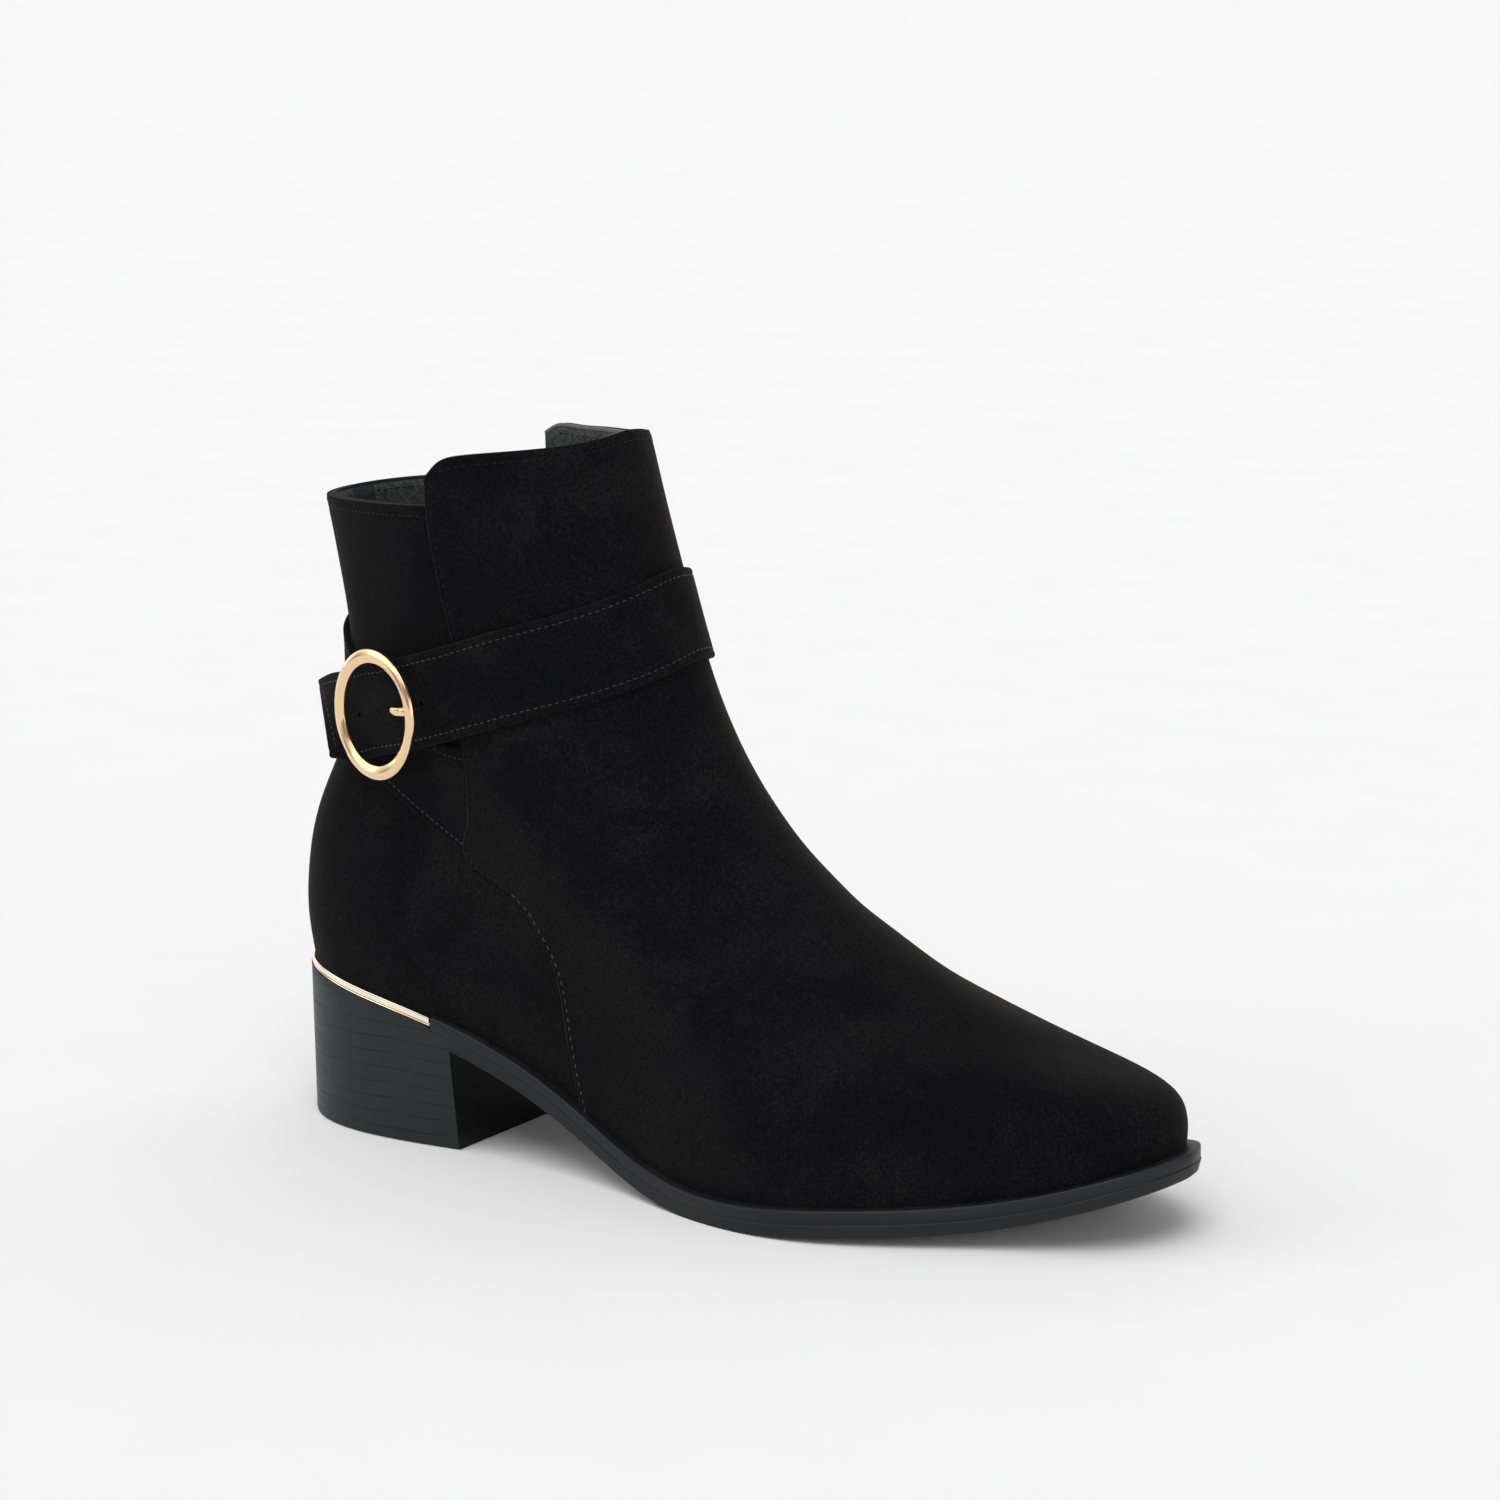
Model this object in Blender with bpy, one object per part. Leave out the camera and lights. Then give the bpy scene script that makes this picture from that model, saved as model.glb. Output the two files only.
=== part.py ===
"""Buckle ankle boot for the right foot, built as separate solids.

Sizes are in millimetres and are turned into metres when a mesh is made. X runs from the heel to the toe,
Y to the medial side and Z up from the floor.
"""
import math

import bmesh
import bpy
import numpy as np
from mathutils import Matrix

MM = 0.001
GAP = 0.3
TAU = 2.0 * math.pi

WALL = 2.8
PANEL_FADE = 0.4
WELT_HEIGHT = 3.4
OUTSOLE_HEIGHT = 3.3
TOE_UNDERCUT = 1.6
STRIP_DEPTH = 1.8
STRIP_END = 56.0
HEEL_BREAST = 59.3
HEEL_TAPER = (0.6, 3.7)
INSOLE_HEIGHT = 2.2
STRAP_WIDTH = 24.0
STRAP_START = 71.2
STRAP_SHEAR = 0.51
STRAP_TIP_SHEAR = 0.22
STRAP_STATIONS = 76
RING_OUTER = 17.0
RING_INNER = 13.3
RING_HEIGHT = 2.4
RING_NOTCH = 1.1
BAR_RADIUS = 0.7

# Level loops of the upper from the sole to above the collar, equally spaced
LEVEL_COLUMNS = ("front_x", "front_y", "front_z", "back_x", "back_z", "heel_end", "heel",
                 "waist_lat", "waist_med", "ball_lat", "ball_med", "toe_lat", "toe_med", "toe_end")
LEVELS = (
    (256.0, 4.5, 21.0, 1.0, 45.0, 63.0, 43.0, 36.5, 31.5, 52.0, 50.0, 43.0, 49.5, 49.5),
    (256.0, 4.5, 29.2, -1.5, 57.0, 60.5, 43.0, 38.0, 34.0, 51.5, 49.5, 42.5, 48.5, 48.5),
    (248.0, 3.5, 38.3, -1.5, 71.0, 55.5, 39.0, 37.0, 35.0, 47.5, 46.0, 38.0, 43.0, 43.0),
    (220.0, 2.5, 45.5, 2.0, 85.0, 50.5, 36.0, 36.5, 35.5, 43.5, 42.5, 32.5, 35.5, 35.5),
    (191.5, 1.5, 55.5, 7.5, 97.0, 46.5, 34.0, 36.0, 35.0, 39.5, 38.5, 30.0, 32.0, 31.0),
    (163.5, 0.5, 71.0, 11.5, 108.0, 43.0, 33.0, 35.0, 34.0, 36.0, 35.0, 30.0, 31.0, 30.0),
    (139.5, -0.5, 93.5, 14.0, 119.0, 42.0, 33.0, 34.0, 33.0, 33.0, 32.0, 30.0, 30.0, 30.0),
    (122.5, -0.5, 120.0, 14.5, 134.0, 41.0, 34.0, 34.0, 33.0, 33.0, 33.0, 31.0, 31.0, 31.0),
    (112.0, -0.5, 147.5, 12.0, 151.0, 41.0, 35.5, 36.0, 35.5, 34.5, 34.5, 32.5, 32.5, 32.5),
    (104.5, -0.5, 170.0, 9.0, 166.0, 41.0, 37.0, 38.0, 38.0, 36.0, 36.0, 34.0, 34.0, 34.0),
    (97.5, -0.5, 194.0, 5.0, 182.0, 42.0, 39.0, 40.0, 40.0, 37.5, 37.5, 35.0, 35.0, 35.0),
)
WIDTH_STATIONS = (0.0, 0.18, 0.45, 0.70, 0.90, 1.0)
LIFT_LEVEL = 0.5

# Height of the foot's seat along the boot
SEAT_COLUMNS = ("x", "z")
SEAT = ((0.0, 45.6), (30.0, 41.3), (60.0, 35.6), (95.0, 23.2), (125.0, 10.3), (150.0, 6.8),
        (185.0, 8.8), (220.0, 12.0), (259.0, 23.2))

# How far the sole stands out from the upper: angle from the back in degrees
REACH_COLUMNS = ("angle", "reach")
REACH = ((0.0, 1.2), (55.0, 1.3), (75.0, 2.2), (100.0, 2.5), (140.0, 2.6), (160.0, 3.1), (180.0, 4.0))

# Back edge of the front panel: angle round the boot on each side in degrees, and depth of the step
SEAM_COLUMNS = ("level", "lateral", "medial", "step")
SEAM = ((0.0, 79.0, 79.0, 0.8), (0.20, 77.6, 77.6, 0.8), (0.30, 77.4, 76.0, 0.9),
        (0.325, 75.4, 75.6, 1.2), (0.345, 68.0, 75.4, 1.6), (0.365, 67.3, 75.2, 1.6),
        (0.47, 73.5, 75.0, 1.6), (0.575, 81.0, 75.6, 1.6), (0.61, 83.0, 76.0, 1.6),
        (0.74, 91.0, 78.5, 1.2), (0.79, 91.8, 79.6, 1.1), (0.83, 93.0, 80.6, 1.1),
        (0.875, 94.2, 81.8, 1.1), (0.915, 96.0, 83.0, 1.1), (1.0, 102.0, 87.0, 1.1))

# Top of the front panel: share of the way from its edge to the front, height on each side
TOP_COLUMNS = ("share", "lateral", "medial")
TOP = ((0.0, 178.5, 178.0), (0.05, 182.5, 182.0), (0.12, 184.8, 184.4), (0.4, 186.5, 185.8),
       (0.7, 188.0, 187.5), (1.0, 189.8, 189.8))

# Strap from the lateral seam round the back, the medial side and the front to the free end
STRAP_COLUMNS = ("angle", "height", "standoff", "thickness")
STRAP = ((86.0, 84.5, 0.3, 1.2), (74.5, 91.0, 0.3, 1.2), (66.0, 97.0, 0.3, 1.3), (53.0, 105.8, 0.3, 1.4),
         (36.0, 115.0, 0.3, 1.6), (20.0, 121.5, 0.3, 1.6), (0.0, 126.0, 0.3, 1.6), (-30.0, 129.5, 0.3, 1.6),
         (-60.0, 132.0, 0.3, 1.6), (-90.0, 134.0, 0.3, 1.6), (-120.0, 136.5, 0.3, 1.6),
         (-150.0, 140.0, 0.3, 1.6), (-180.0, 142.5, 0.3, 1.6), (-195.0, 140.8, 0.3, 1.6),
         (-209.0, 138.3, 0.3, 1.6), (-234.0, 133.2, 0.3, 1.6), (-246.0, 130.6, 0.4, 1.6),
         (-258.0, 127.7, 0.6, 1.6), (-270.0, 124.4, 1.4, 1.6), (-281.0, 121.5, 2.8, 1.6),
         (-291.0, 118.9, 3.7, 1.6), (-300.0, 116.8, 4.0, 1.6), (-308.0, 115.0, 3.8, 1.6),
         (-317.0, 113.2, 3.5, 1.6), (-326.0, 111.8, 3.9, 1.6), (-333.0, 110.9, 5.2, 1.6))
RING_ANGLE = -303.0
RING_CHORD = 14.0

# Centre line of the prong in the ring's frame: along the strap and out from the ring's middle plane
PRONG_COLUMNS = ("along", "out", "half_height", "half_width")
PRONG = ((4.4, -3.5, 0.6, 1.0), (5.2, -2.3, 0.65, 1.1), (5.9, -1.0, 0.7, 1.2), (7.2, 0.0, 0.7, 1.25),
         (9.5, 0.6, 0.7, 1.25), (12.5, 1.0, 0.7, 1.25), (14.4, 1.15, 0.65, 1.15), (15.4, 1.15, 0.45, 0.8))

# Finishes: base colour, roughness, metallic
FINISH_COLUMNS = ("colour", "roughness", "metallic")
FINISHES = {
    "upper": ((0.016, 0.016, 0.018), 0.92, 0.0),
    "insole": ((0.03, 0.03, 0.032), 0.8, 0.0),
    "welt": ((0.028, 0.029, 0.031), 0.5, 0.0),
    "outsole": ((0.026, 0.027, 0.029), 0.5, 0.0),
    "heel_strip": ((0.83, 0.66, 0.40), 0.18, 1.0),
    "ankle_strap": ((0.017, 0.017, 0.019), 0.92, 0.0),
    "buckle_ring": ((0.85, 0.68, 0.42), 0.16, 1.0),
    "buckle_prong": ((0.85, 0.68, 0.42), 0.16, 1.0),
}


class Curve:
    """Natural cubic curve through a table's values."""

    def __init__(self, xs, ys):
        self.xs = np.asarray(xs, float)
        self.ys = np.asarray(ys, float)
        steps = np.diff(self.xs)
        count = len(self.xs)
        system = np.eye(count)
        right = np.zeros(count)
        for i in range(1, count - 1):
            system[i, i - 1:i + 2] = steps[i - 1], 2.0 * (steps[i - 1] + steps[i]), steps[i]
            slope_after = (self.ys[i + 1] - self.ys[i]) / steps[i]
            slope_before = (self.ys[i] - self.ys[i - 1]) / steps[i - 1]
            right[i] = 6.0 * (slope_after - slope_before)
        self.bends = np.linalg.solve(system, right)
        self.steps = steps

    def __call__(self, at):
        i = int(np.clip(np.searchsorted(self.xs, at) - 1, 0, len(self.steps) - 1))
        t = at - self.xs[i]
        step = self.steps[i]
        bend, after = self.bends[i], self.bends[i + 1]
        slope = (self.ys[i + 1] - self.ys[i]) / step - step * (2.0 * bend + after) / 6.0
        return float(self.ys[i] + t * slope + t * t * bend / 2.0 + t ** 3 * (after - bend) / (6.0 * step))


def column(table, columns, name):
    """Values of one named column of a table."""
    place = columns.index(name)
    return [row[place] for row in table]


def smooth(t):
    """Soft step from 0 to 1."""
    t = min(max(t, 0.0), 1.0)
    return t * t * (3.0 - 2.0 * t)


LEVEL_SHARES = np.linspace(0.0, 1.0, len(LEVELS))
LEVEL_CURVES = {name: Curve(LEVEL_SHARES, column(LEVELS, LEVEL_COLUMNS, name)) for name in LEVEL_COLUMNS}
SEAT_CURVE = Curve(column(SEAT, SEAT_COLUMNS, "x"), column(SEAT, SEAT_COLUMNS, "z"))
REACH_CURVE = Curve(column(REACH, REACH_COLUMNS, "angle"), column(REACH, REACH_COLUMNS, "reach"))
SOLE_LEVEL = dict(zip(LEVEL_COLUMNS, LEVELS[0]))


def seat_height(x):
    """Height of the seat at a place along the boot."""
    return SEAT_CURVE(min(max(x, -5.0), 264.0))


def last_point(level, angle):
    """Point of the boot's outside form; angle 0 at the back, pi at the toe by way of the lateral side."""
    angle = angle % TAU
    row = {name: curve(level) for name, curve in LEVEL_CURVES.items()}
    share = (1.0 - math.cos(angle)) / 2.0
    side = "lat" if angle <= math.pi else "med"
    names = ("heel_end", "heel", "waist_" + side, "ball_" + side, "toe_" + side, "toe_end")
    width = Curve(WIDTH_STATIONS, [row[name] for name in names])(share)
    x = row["back_x"] + (row["front_x"] - row["back_x"]) * share
    y = row["front_y"] * share ** 2 - math.sin(angle) * width
    low = SOLE_LEVEL
    sole_share = min(max((x - low["back_x"]) / (low["front_x"] - low["back_x"]), 0.0), 1.0)
    lift = seat_height(x) - (low["back_z"] + (low["front_z"] - low["back_z"]) * sole_share)
    fade = max(0.0, 1.0 - level / LIFT_LEVEL) ** 2
    z = row["back_z"] + (row["front_z"] - row["back_z"]) * share + lift * fade
    return np.array((x, y, z))


def last_slopes(level, angle):
    """Change of the form with the level and with the angle."""
    step = 0.002
    by_level = (last_point(level + step, angle) - last_point(level - step, angle)) / (2.0 * step)
    by_angle = (last_point(level, angle + step) - last_point(level, angle - step)) / (2.0 * step)
    return by_level, by_angle


def last_normal(level, angle):
    """Direction out of the form."""
    by_level, by_angle = last_slopes(level, angle)
    normal = np.cross(by_angle, by_level)
    return normal / np.linalg.norm(normal)


def level_at_height(angle_of_level, height, low=0.3, high=1.0):
    """Level at which a line up the form reaches a height."""
    for _ in range(40):
        middle = (low + high) / 2.0
        if last_point(middle, angle_of_level(middle))[2] < height:
            low = middle
        else:
            high = middle
    return (low + high) / 2.0


def seam_angle(level, side):
    """Angle of the front panel's back edge on a side of the boot, from the back."""
    levels = column(SEAM, SEAM_COLUMNS, "level")
    return math.radians(np.interp(level, levels, column(SEAM, SEAM_COLUMNS, side)))


def panel_offset(level, share):
    """Depth of the back part under the front panel; share 0 at the back, 1 at the panel's edge."""
    levels = column(SEAM, SEAM_COLUMNS, "level")
    step = np.interp(level, levels, column(SEAM, SEAM_COLUMNS, "step"))
    return -step * smooth((share - PANEL_FADE) / (1.0 - PANEL_FADE))


class Solid:
    """Closed mesh gathered face by face, with points that fall together joined."""

    def __init__(self):
        self.places = {}
        self.points = []
        self.faces = []

    def vertex(self, point):
        """Number of a point, new or known."""
        key = tuple(round(float(value), 4) for value in point)
        if key not in self.places:
            self.places[key] = len(self.points)
            self.points.append(key)
        return self.places[key]

    def face(self, points):
        """Adds a face unless it has shrunk to a line."""
        ring = []
        for point in points:
            number = self.vertex(point)
            if number not in ring:
                ring.append(number)
        if len(ring) > 2:
            self.faces.append(ring)

    def loft(self, sections, capped=True):
        """Joins closed sections one after the other."""
        for first, second in zip(sections, sections[1:]):
            for i in range(len(first)):
                j = (i + 1) % len(first)
                self.face((first[i], first[j], second[j], second[i]))
        if capped:
            self.face(sections[0][::-1])
            self.face(sections[-1])

    def make(self, name):
        """Mesh object with its faces turned outward."""
        mesh = bpy.data.meshes.new(name)
        mesh.from_pydata([[value * MM for value in point] for point in self.points], [], self.faces)
        work = bmesh.new()
        work.from_mesh(mesh)
        bmesh.ops.recalc_face_normals(work, faces=work.faces)
        if work.calc_volume(signed=True) < 0.0:
            bmesh.ops.reverse_faces(work, faces=work.faces)
        work.to_mesh(mesh)
        work.free()
        thing = bpy.data.objects.new(name, mesh)
        bpy.context.scene.collection.objects.link(thing)
        return thing


class UpperColumn:
    """One line up the upper: its side, panel and share of the panel's width."""

    def __init__(self, side, panel, share):
        self.side = side
        self.panel = panel
        self.share = share
        heights = Curve(column(TOP, TOP_COLUMNS, "share"), column(TOP, TOP_COLUMNS, side))
        self.top_level = level_at_height(self.angle, heights(share))

    def angle(self, level):
        """Angle round the boot at a level."""
        seam = seam_angle(level, self.side)
        angle = seam * self.share
        if self.panel == "front":
            angle = seam + (math.pi - seam) * self.share
        return angle if self.side == "lateral" else TAU - angle

    def levels(self):
        """Levels of the rows, with the rows above the back collar on the front panel only."""
        if self.panel == "back":
            return UPPER_ROWS
        above = np.linspace(UPPER_ROWS[-1], self.top_level, TOP_ROWS + 1)
        return UPPER_ROWS + tuple(above[1:])

    def line(self, inner):
        """Points up the outside or the inside of the wall."""
        points = []
        for level in self.levels():
            angle = self.angle(level)
            offset = -WALL
            if not inner:
                offset = panel_offset(level, self.share) if self.panel == "back" else 0.0
            point = last_point(level, angle) + last_normal(level, angle) * offset
            if level == 0.0:
                point[2] = seat_height(point[0])
            points.append(point)
        return points


UPPER_ROWS = (0.0, 0.045, 0.09, 0.135, 0.18, 0.225, 0.265, 0.30, 0.325, 0.345, 0.365, 0.40, 0.44, 0.48,
              0.52, 0.56, 0.60, 0.645, 0.69, 0.735, 0.78, 0.825, 0.87, 0.915)
TOP_ROWS = 3
BACK_SHARES = (0.0, 0.12, 0.24, 0.36, 0.48, 0.59, 0.69, 0.78, 0.86, 0.93, 1.0)
FRONT_SHARES = (0.0, 0.03, 0.07, 0.12, 0.18, 0.24, 0.30, 0.36, 0.42, 0.48, 0.54, 0.60, 0.66, 0.72, 0.78,
                0.84, 0.89, 0.93, 0.97, 1.0)


def build_upper():
    """Hollow upper, open at the collar and underneath, with the front panel's edge as a step."""
    columns = [UpperColumn("lateral", "back", share) for share in BACK_SHARES]
    columns += [UpperColumn("lateral", "front", share) for share in FRONT_SHARES]
    columns += [UpperColumn("medial", "front", share) for share in FRONT_SHARES[-2::-1]]
    columns += [UpperColumn("medial", "back", share) for share in BACK_SHARES[:0:-1]]
    outer = [item.line(False) for item in columns]
    inner = [item.line(True) for item in columns]
    base = len(UPPER_ROWS)
    solid = Solid()
    for k in range(len(columns)):
        n = (k + 1) % len(columns)
        seam = columns[k].panel != columns[n].panel
        rows = min(len(outer[k]), len(outer[n]))
        for r in range(rows - 1):
            solid.face((outer[k][r], outer[n][r], outer[n][r + 1], outer[k][r + 1]))
            if not seam:
                solid.face((inner[n][r], inner[k][r], inner[k][r + 1], inner[n][r + 1]))
        if not seam:
            bottom = [outer[n][0], outer[k][0], inner[k][0], inner[n][0]]
            before, after = columns[k - 1].panel, columns[(n + 1) % len(columns)].panel
            if columns[k].panel == "front" and before == "back":
                bottom.insert(2, outer[k - 1][0])
            if columns[k].panel == "front" and after == "back":
                bottom.append(outer[(n + 1) % len(columns)][0])
            solid.face(bottom)
            solid.face((outer[k][rows - 1], outer[n][rows - 1], inner[n][rows - 1], inner[k][rows - 1]))
            continue
        front, back = (n, k) if columns[n].panel == "front" else (k, n)
        for r in range(base - 1, len(outer[front]) - 1):
            side = [outer[front][r + 1], outer[front][r], inner[front][r], inner[front][r + 1]]
            if r == base - 1:
                side.insert(2, outer[back][r])
            solid.face(side)
    return solid.make("upper")


def sole_point(angle, reach):
    """Plan point of the sole's outline, moved out from the upper's lower edge by a reach."""
    step = 0.004
    middle = last_point(0.0, angle)
    along = last_point(0.0, angle + step) - last_point(0.0, angle - step)
    out = np.array((along[1], -along[0]))
    return middle[:2] + reach * out / np.linalg.norm(out)


def sole_reach(angle):
    """Reach of the sole's side at a station."""
    return REACH_CURVE(abs(math.degrees(math.remainder(angle, TAU))))


def sole_edge(angle, reach, drop):
    """Point of the sole's side, dropped under the seat."""
    x, y = sole_point(angle, reach)
    return np.array((x, y, seat_height(x) - drop))


def sole_angles(*extra):
    """Stations from the back to the toe, close together at the round ends."""
    plain = [math.radians(value) for value in
             (0, 3, 8, 14, 20, 27, 34, 41, 48, 54, 60, 66, 72, 78, 84, 90, 96, 102, 108, 114, 120, 126,
              132, 138, 144, 150, 156, 162, 167, 172, 177, 180)]
    return sorted(plain + [value for value in extra if value not in plain])


def build_welt():
    """Top layer of the sole, set back round the heel where the strip is let in."""
    end = math.radians(STRIP_END)
    sections = []
    for angle in sole_angles(end):
        reaches = [sole_reach(angle) - STRIP_DEPTH - GAP] if angle <= end else []
        reaches += [sole_reach(angle)] if angle >= end else []
        for reach in reaches:
            profile = ((reach - 0.4, GAP), (reach, GAP + 0.5), (reach, GAP + WELT_HEIGHT - 0.4),
                       (reach - 0.3, GAP + WELT_HEIGHT))
            lateral = [sole_edge(angle, out, drop) for out, drop in profile]
            medial = [sole_edge(TAU - angle, out, drop) for out, drop in profile]
            sections.append(lateral + medial[::-1])
    solid = Solid()
    solid.loft(sections, capped=False)
    return solid.make("welt")


def build_strip():
    """Band round the heel with a fine lip under a groove."""
    end = math.radians(STRIP_END) - 0.004
    profile = ((-STRIP_DEPTH, 0.2), (-0.2, 0.2), (0.0, 0.4), (0.0, 2.1), (-0.6, 2.3), (-0.6, 2.5),
               (-0.2, 2.6), (-0.2, 3.3), (-STRIP_DEPTH, 3.3))
    sections = [[sole_edge(angle, sole_reach(angle) + out, GAP + drop) for out, drop in profile]
                for angle in np.linspace(-end, end, 33)]
    solid = Solid()
    solid.loft(sections)
    return solid.make("heel_strip")


def outsole_profile(angle, heel):
    """Side of the outsole at a station, from its top to the ground."""
    top = 2.0 * GAP + WELT_HEIGHT
    low = top + OUTSOLE_HEIGHT
    reach = sole_reach(angle)
    points = [sole_edge(angle, reach - 0.3, top), sole_edge(angle, reach, top + 0.4)]
    if heel:
        share = abs(math.remainder(angle, TAU)) / math.radians(HEEL_BREAST)
        taper = HEEL_TAPER[0] + (HEEL_TAPER[1] - HEEL_TAPER[0]) * share ** 3
        points += [sole_edge(angle, reach - taper, low), sole_edge(angle, reach - taper - 0.6, low)]
        points[2][2] = 0.8
        points[3][2] = 0.0
    else:
        under = TOE_UNDERCUT * smooth((abs(math.degrees(math.remainder(angle, TAU))) - 140.0) / 40.0)
        points.append(sole_edge(angle, reach - under / 2.0, low - 0.6))
        points.append(sole_edge(angle, reach - 0.8 - under, low))
        points[3][2] = max(points[3][2], 0.0)
        points[2][2] = max(points[2][2], points[3][2] + 0.6)
    return points


def build_outsole():
    """Forefoot, arch and block heel in one."""
    breast = math.radians(HEEL_BREAST)
    sections = []
    for angle in sole_angles(breast):
        kinds = [True] if angle <= breast else []
        kinds += [False] if angle >= breast else []
        for heel in kinds:
            lateral = outsole_profile(angle, heel)
            medial = outsole_profile(TAU - angle, heel)
            sections.append(lateral + medial[::-1])
    solid = Solid()
    solid.loft(sections, capped=False)
    return solid.make("outsole")


def build_insole():
    """Board on the seat, inside the wall of the upper."""
    reach = -WALL - 0.5
    sections = []
    for angle in sole_angles():
        profile = ((reach, 0.0), (reach, -INSOLE_HEIGHT + 0.3), (reach - 0.4, -INSOLE_HEIGHT))
        lateral = [sole_edge(angle, out, drop) for out, drop in profile]
        medial = [sole_edge(TAU - angle, out, drop) for out, drop in profile]
        sections.append(lateral + medial[::-1])
    solid = Solid()
    solid.loft(sections, capped=False)
    return solid.make("insole")


class StrapPath:
    """Centre line of the strap on the upper, measured along its length."""

    def __init__(self):
        angles = [math.radians(value) for value in column(STRAP, STRAP_COLUMNS, "angle")]
        heights = column(STRAP, STRAP_COLUMNS, "height")
        points = [self.on_upper(angle, height)[0] for angle, height in zip(angles, heights)]
        lengths = [0.0]
        for first, second in zip(points, points[1:]):
            lengths.append(lengths[-1] + float(np.linalg.norm(second - first)))
        self.lengths = lengths
        self.angle = Curve(lengths, angles)
        self.height = Curve(lengths, heights)
        self.standoff = Curve(lengths, column(STRAP, STRAP_COLUMNS, "standoff"))
        self.thickness = Curve(lengths, column(STRAP, STRAP_COLUMNS, "thickness"))

    def on_upper(self, angle, height):
        """Point of the upper and its level at an angle and height."""
        level = level_at_height(lambda _: angle, height)
        return last_point(level, angle), level

    def frame(self, length):
        """Point, direction along, direction across and level at a length."""
        angle = self.angle(length)
        point, level = self.on_upper(angle, self.height(length))
        ahead = self.on_upper(self.angle(length + 0.5), self.height(length + 0.5))[0]
        behind = self.on_upper(self.angle(length - 0.5), self.height(length - 0.5))[0]
        along = (ahead - behind) / np.linalg.norm(ahead - behind)
        across = np.cross(last_normal(level, angle), along)
        across = across / np.linalg.norm(across)
        return point, along, -across, level

    def length_at(self, angle):
        """Length at which the strap passes an angle, in degrees."""
        low, high = self.lengths[0], self.lengths[-1]
        for _ in range(40):
            middle = (low + high) / 2.0
            if self.angle(middle) > math.radians(angle):
                low = middle
            else:
                high = middle
        return low

    def outside(self, length):
        """Middle of the strap's outer face."""
        point, _, _, level = self.frame(length)
        rise = self.standoff(length) + self.thickness(length)
        return point + last_normal(level, self.angle(length)) * rise

    def surface(self, length, across_shift):
        """Nearest point of the upper's form to a place across the strap, with its normal."""
        point, _, across, level = self.frame(length)
        target = point + across * across_shift
        angle = self.angle(length)
        for _ in range(5):
            by_level, by_angle = last_slopes(level, angle)
            miss = target - last_point(level, angle)
            shift = np.linalg.lstsq(np.column_stack((by_level, by_angle)), miss, rcond=None)[0]
            level += float(shift[0])
            angle += float(shift[1])
        rest = 0.0
        if angle > 0.0:
            rest = panel_offset(level, min(angle / seam_angle(level, "lateral"), 1.0))
        return last_point(level, angle), last_normal(level, angle), rest


def strap_section(path, length, start):
    """Closed section of the strap: slanted at both ends and flat from the ring to the free end."""
    half = STRAP_WIDTH / 2.0
    slant = STRAP_SHEAR * max(0.0, 1.0 - (length - start) / 40.0)
    slant += STRAP_TIP_SHEAR * max(0.0, 1.0 - (path.lengths[-1] - length) / 10.0)
    flat = smooth((length - path.length_at(RING_ANGLE) + 32.0) / 22.0)
    middle, along, across, level = path.frame(length)
    straight = last_normal(level, path.angle(length))
    under, over = [], []
    for share in (-1.0, -0.5, 0.0, 0.5, 1.0):
        shift = share * half
        point, normal, rest = path.surface(length + slant * shift, shift)
        level_point = middle + across * shift + along * slant * shift
        point = point + (level_point - point) * flat
        normal = normal + (straight - normal) * flat
        normal = normal / np.linalg.norm(normal)
        standoff = path.standoff(length) + rest
        under.append(point + normal * standoff)
        over.append(point + normal * (standoff + path.thickness(length)))
    return under + over[::-1]


def build_strap(path):
    """Strap from the seam to its free end."""
    start = path.length_at(STRAP_START)
    lengths = np.linspace(start, path.lengths[-1], STRAP_STATIONS)
    solid = Solid()
    solid.loft([strap_section(path, length, start) for length in lengths])
    return solid.make("ankle_strap")


class BuckleFrame:
    """Axes of the ring: along the strap to the front, up across the strap, and out."""

    def __init__(self, path):
        length = path.length_at(RING_ANGLE)
        front = path.outside(length - RING_CHORD)
        back = path.outside(length + RING_CHORD)
        self.along = (front - back) / np.linalg.norm(front - back)
        across = path.frame(length)[2]
        self.up = across - self.along * float(across @ self.along)
        self.up = self.up / np.linalg.norm(self.up)
        self.out = np.cross(self.along, self.up)
        self.middle = path.outside(length) + self.out * (0.5 + RING_HEIGHT / 2.0)

    def place(self, along, up, out):
        """Point of the boot from the ring's own sizes."""
        return self.middle + self.along * along + self.up * up + self.out * out


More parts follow.
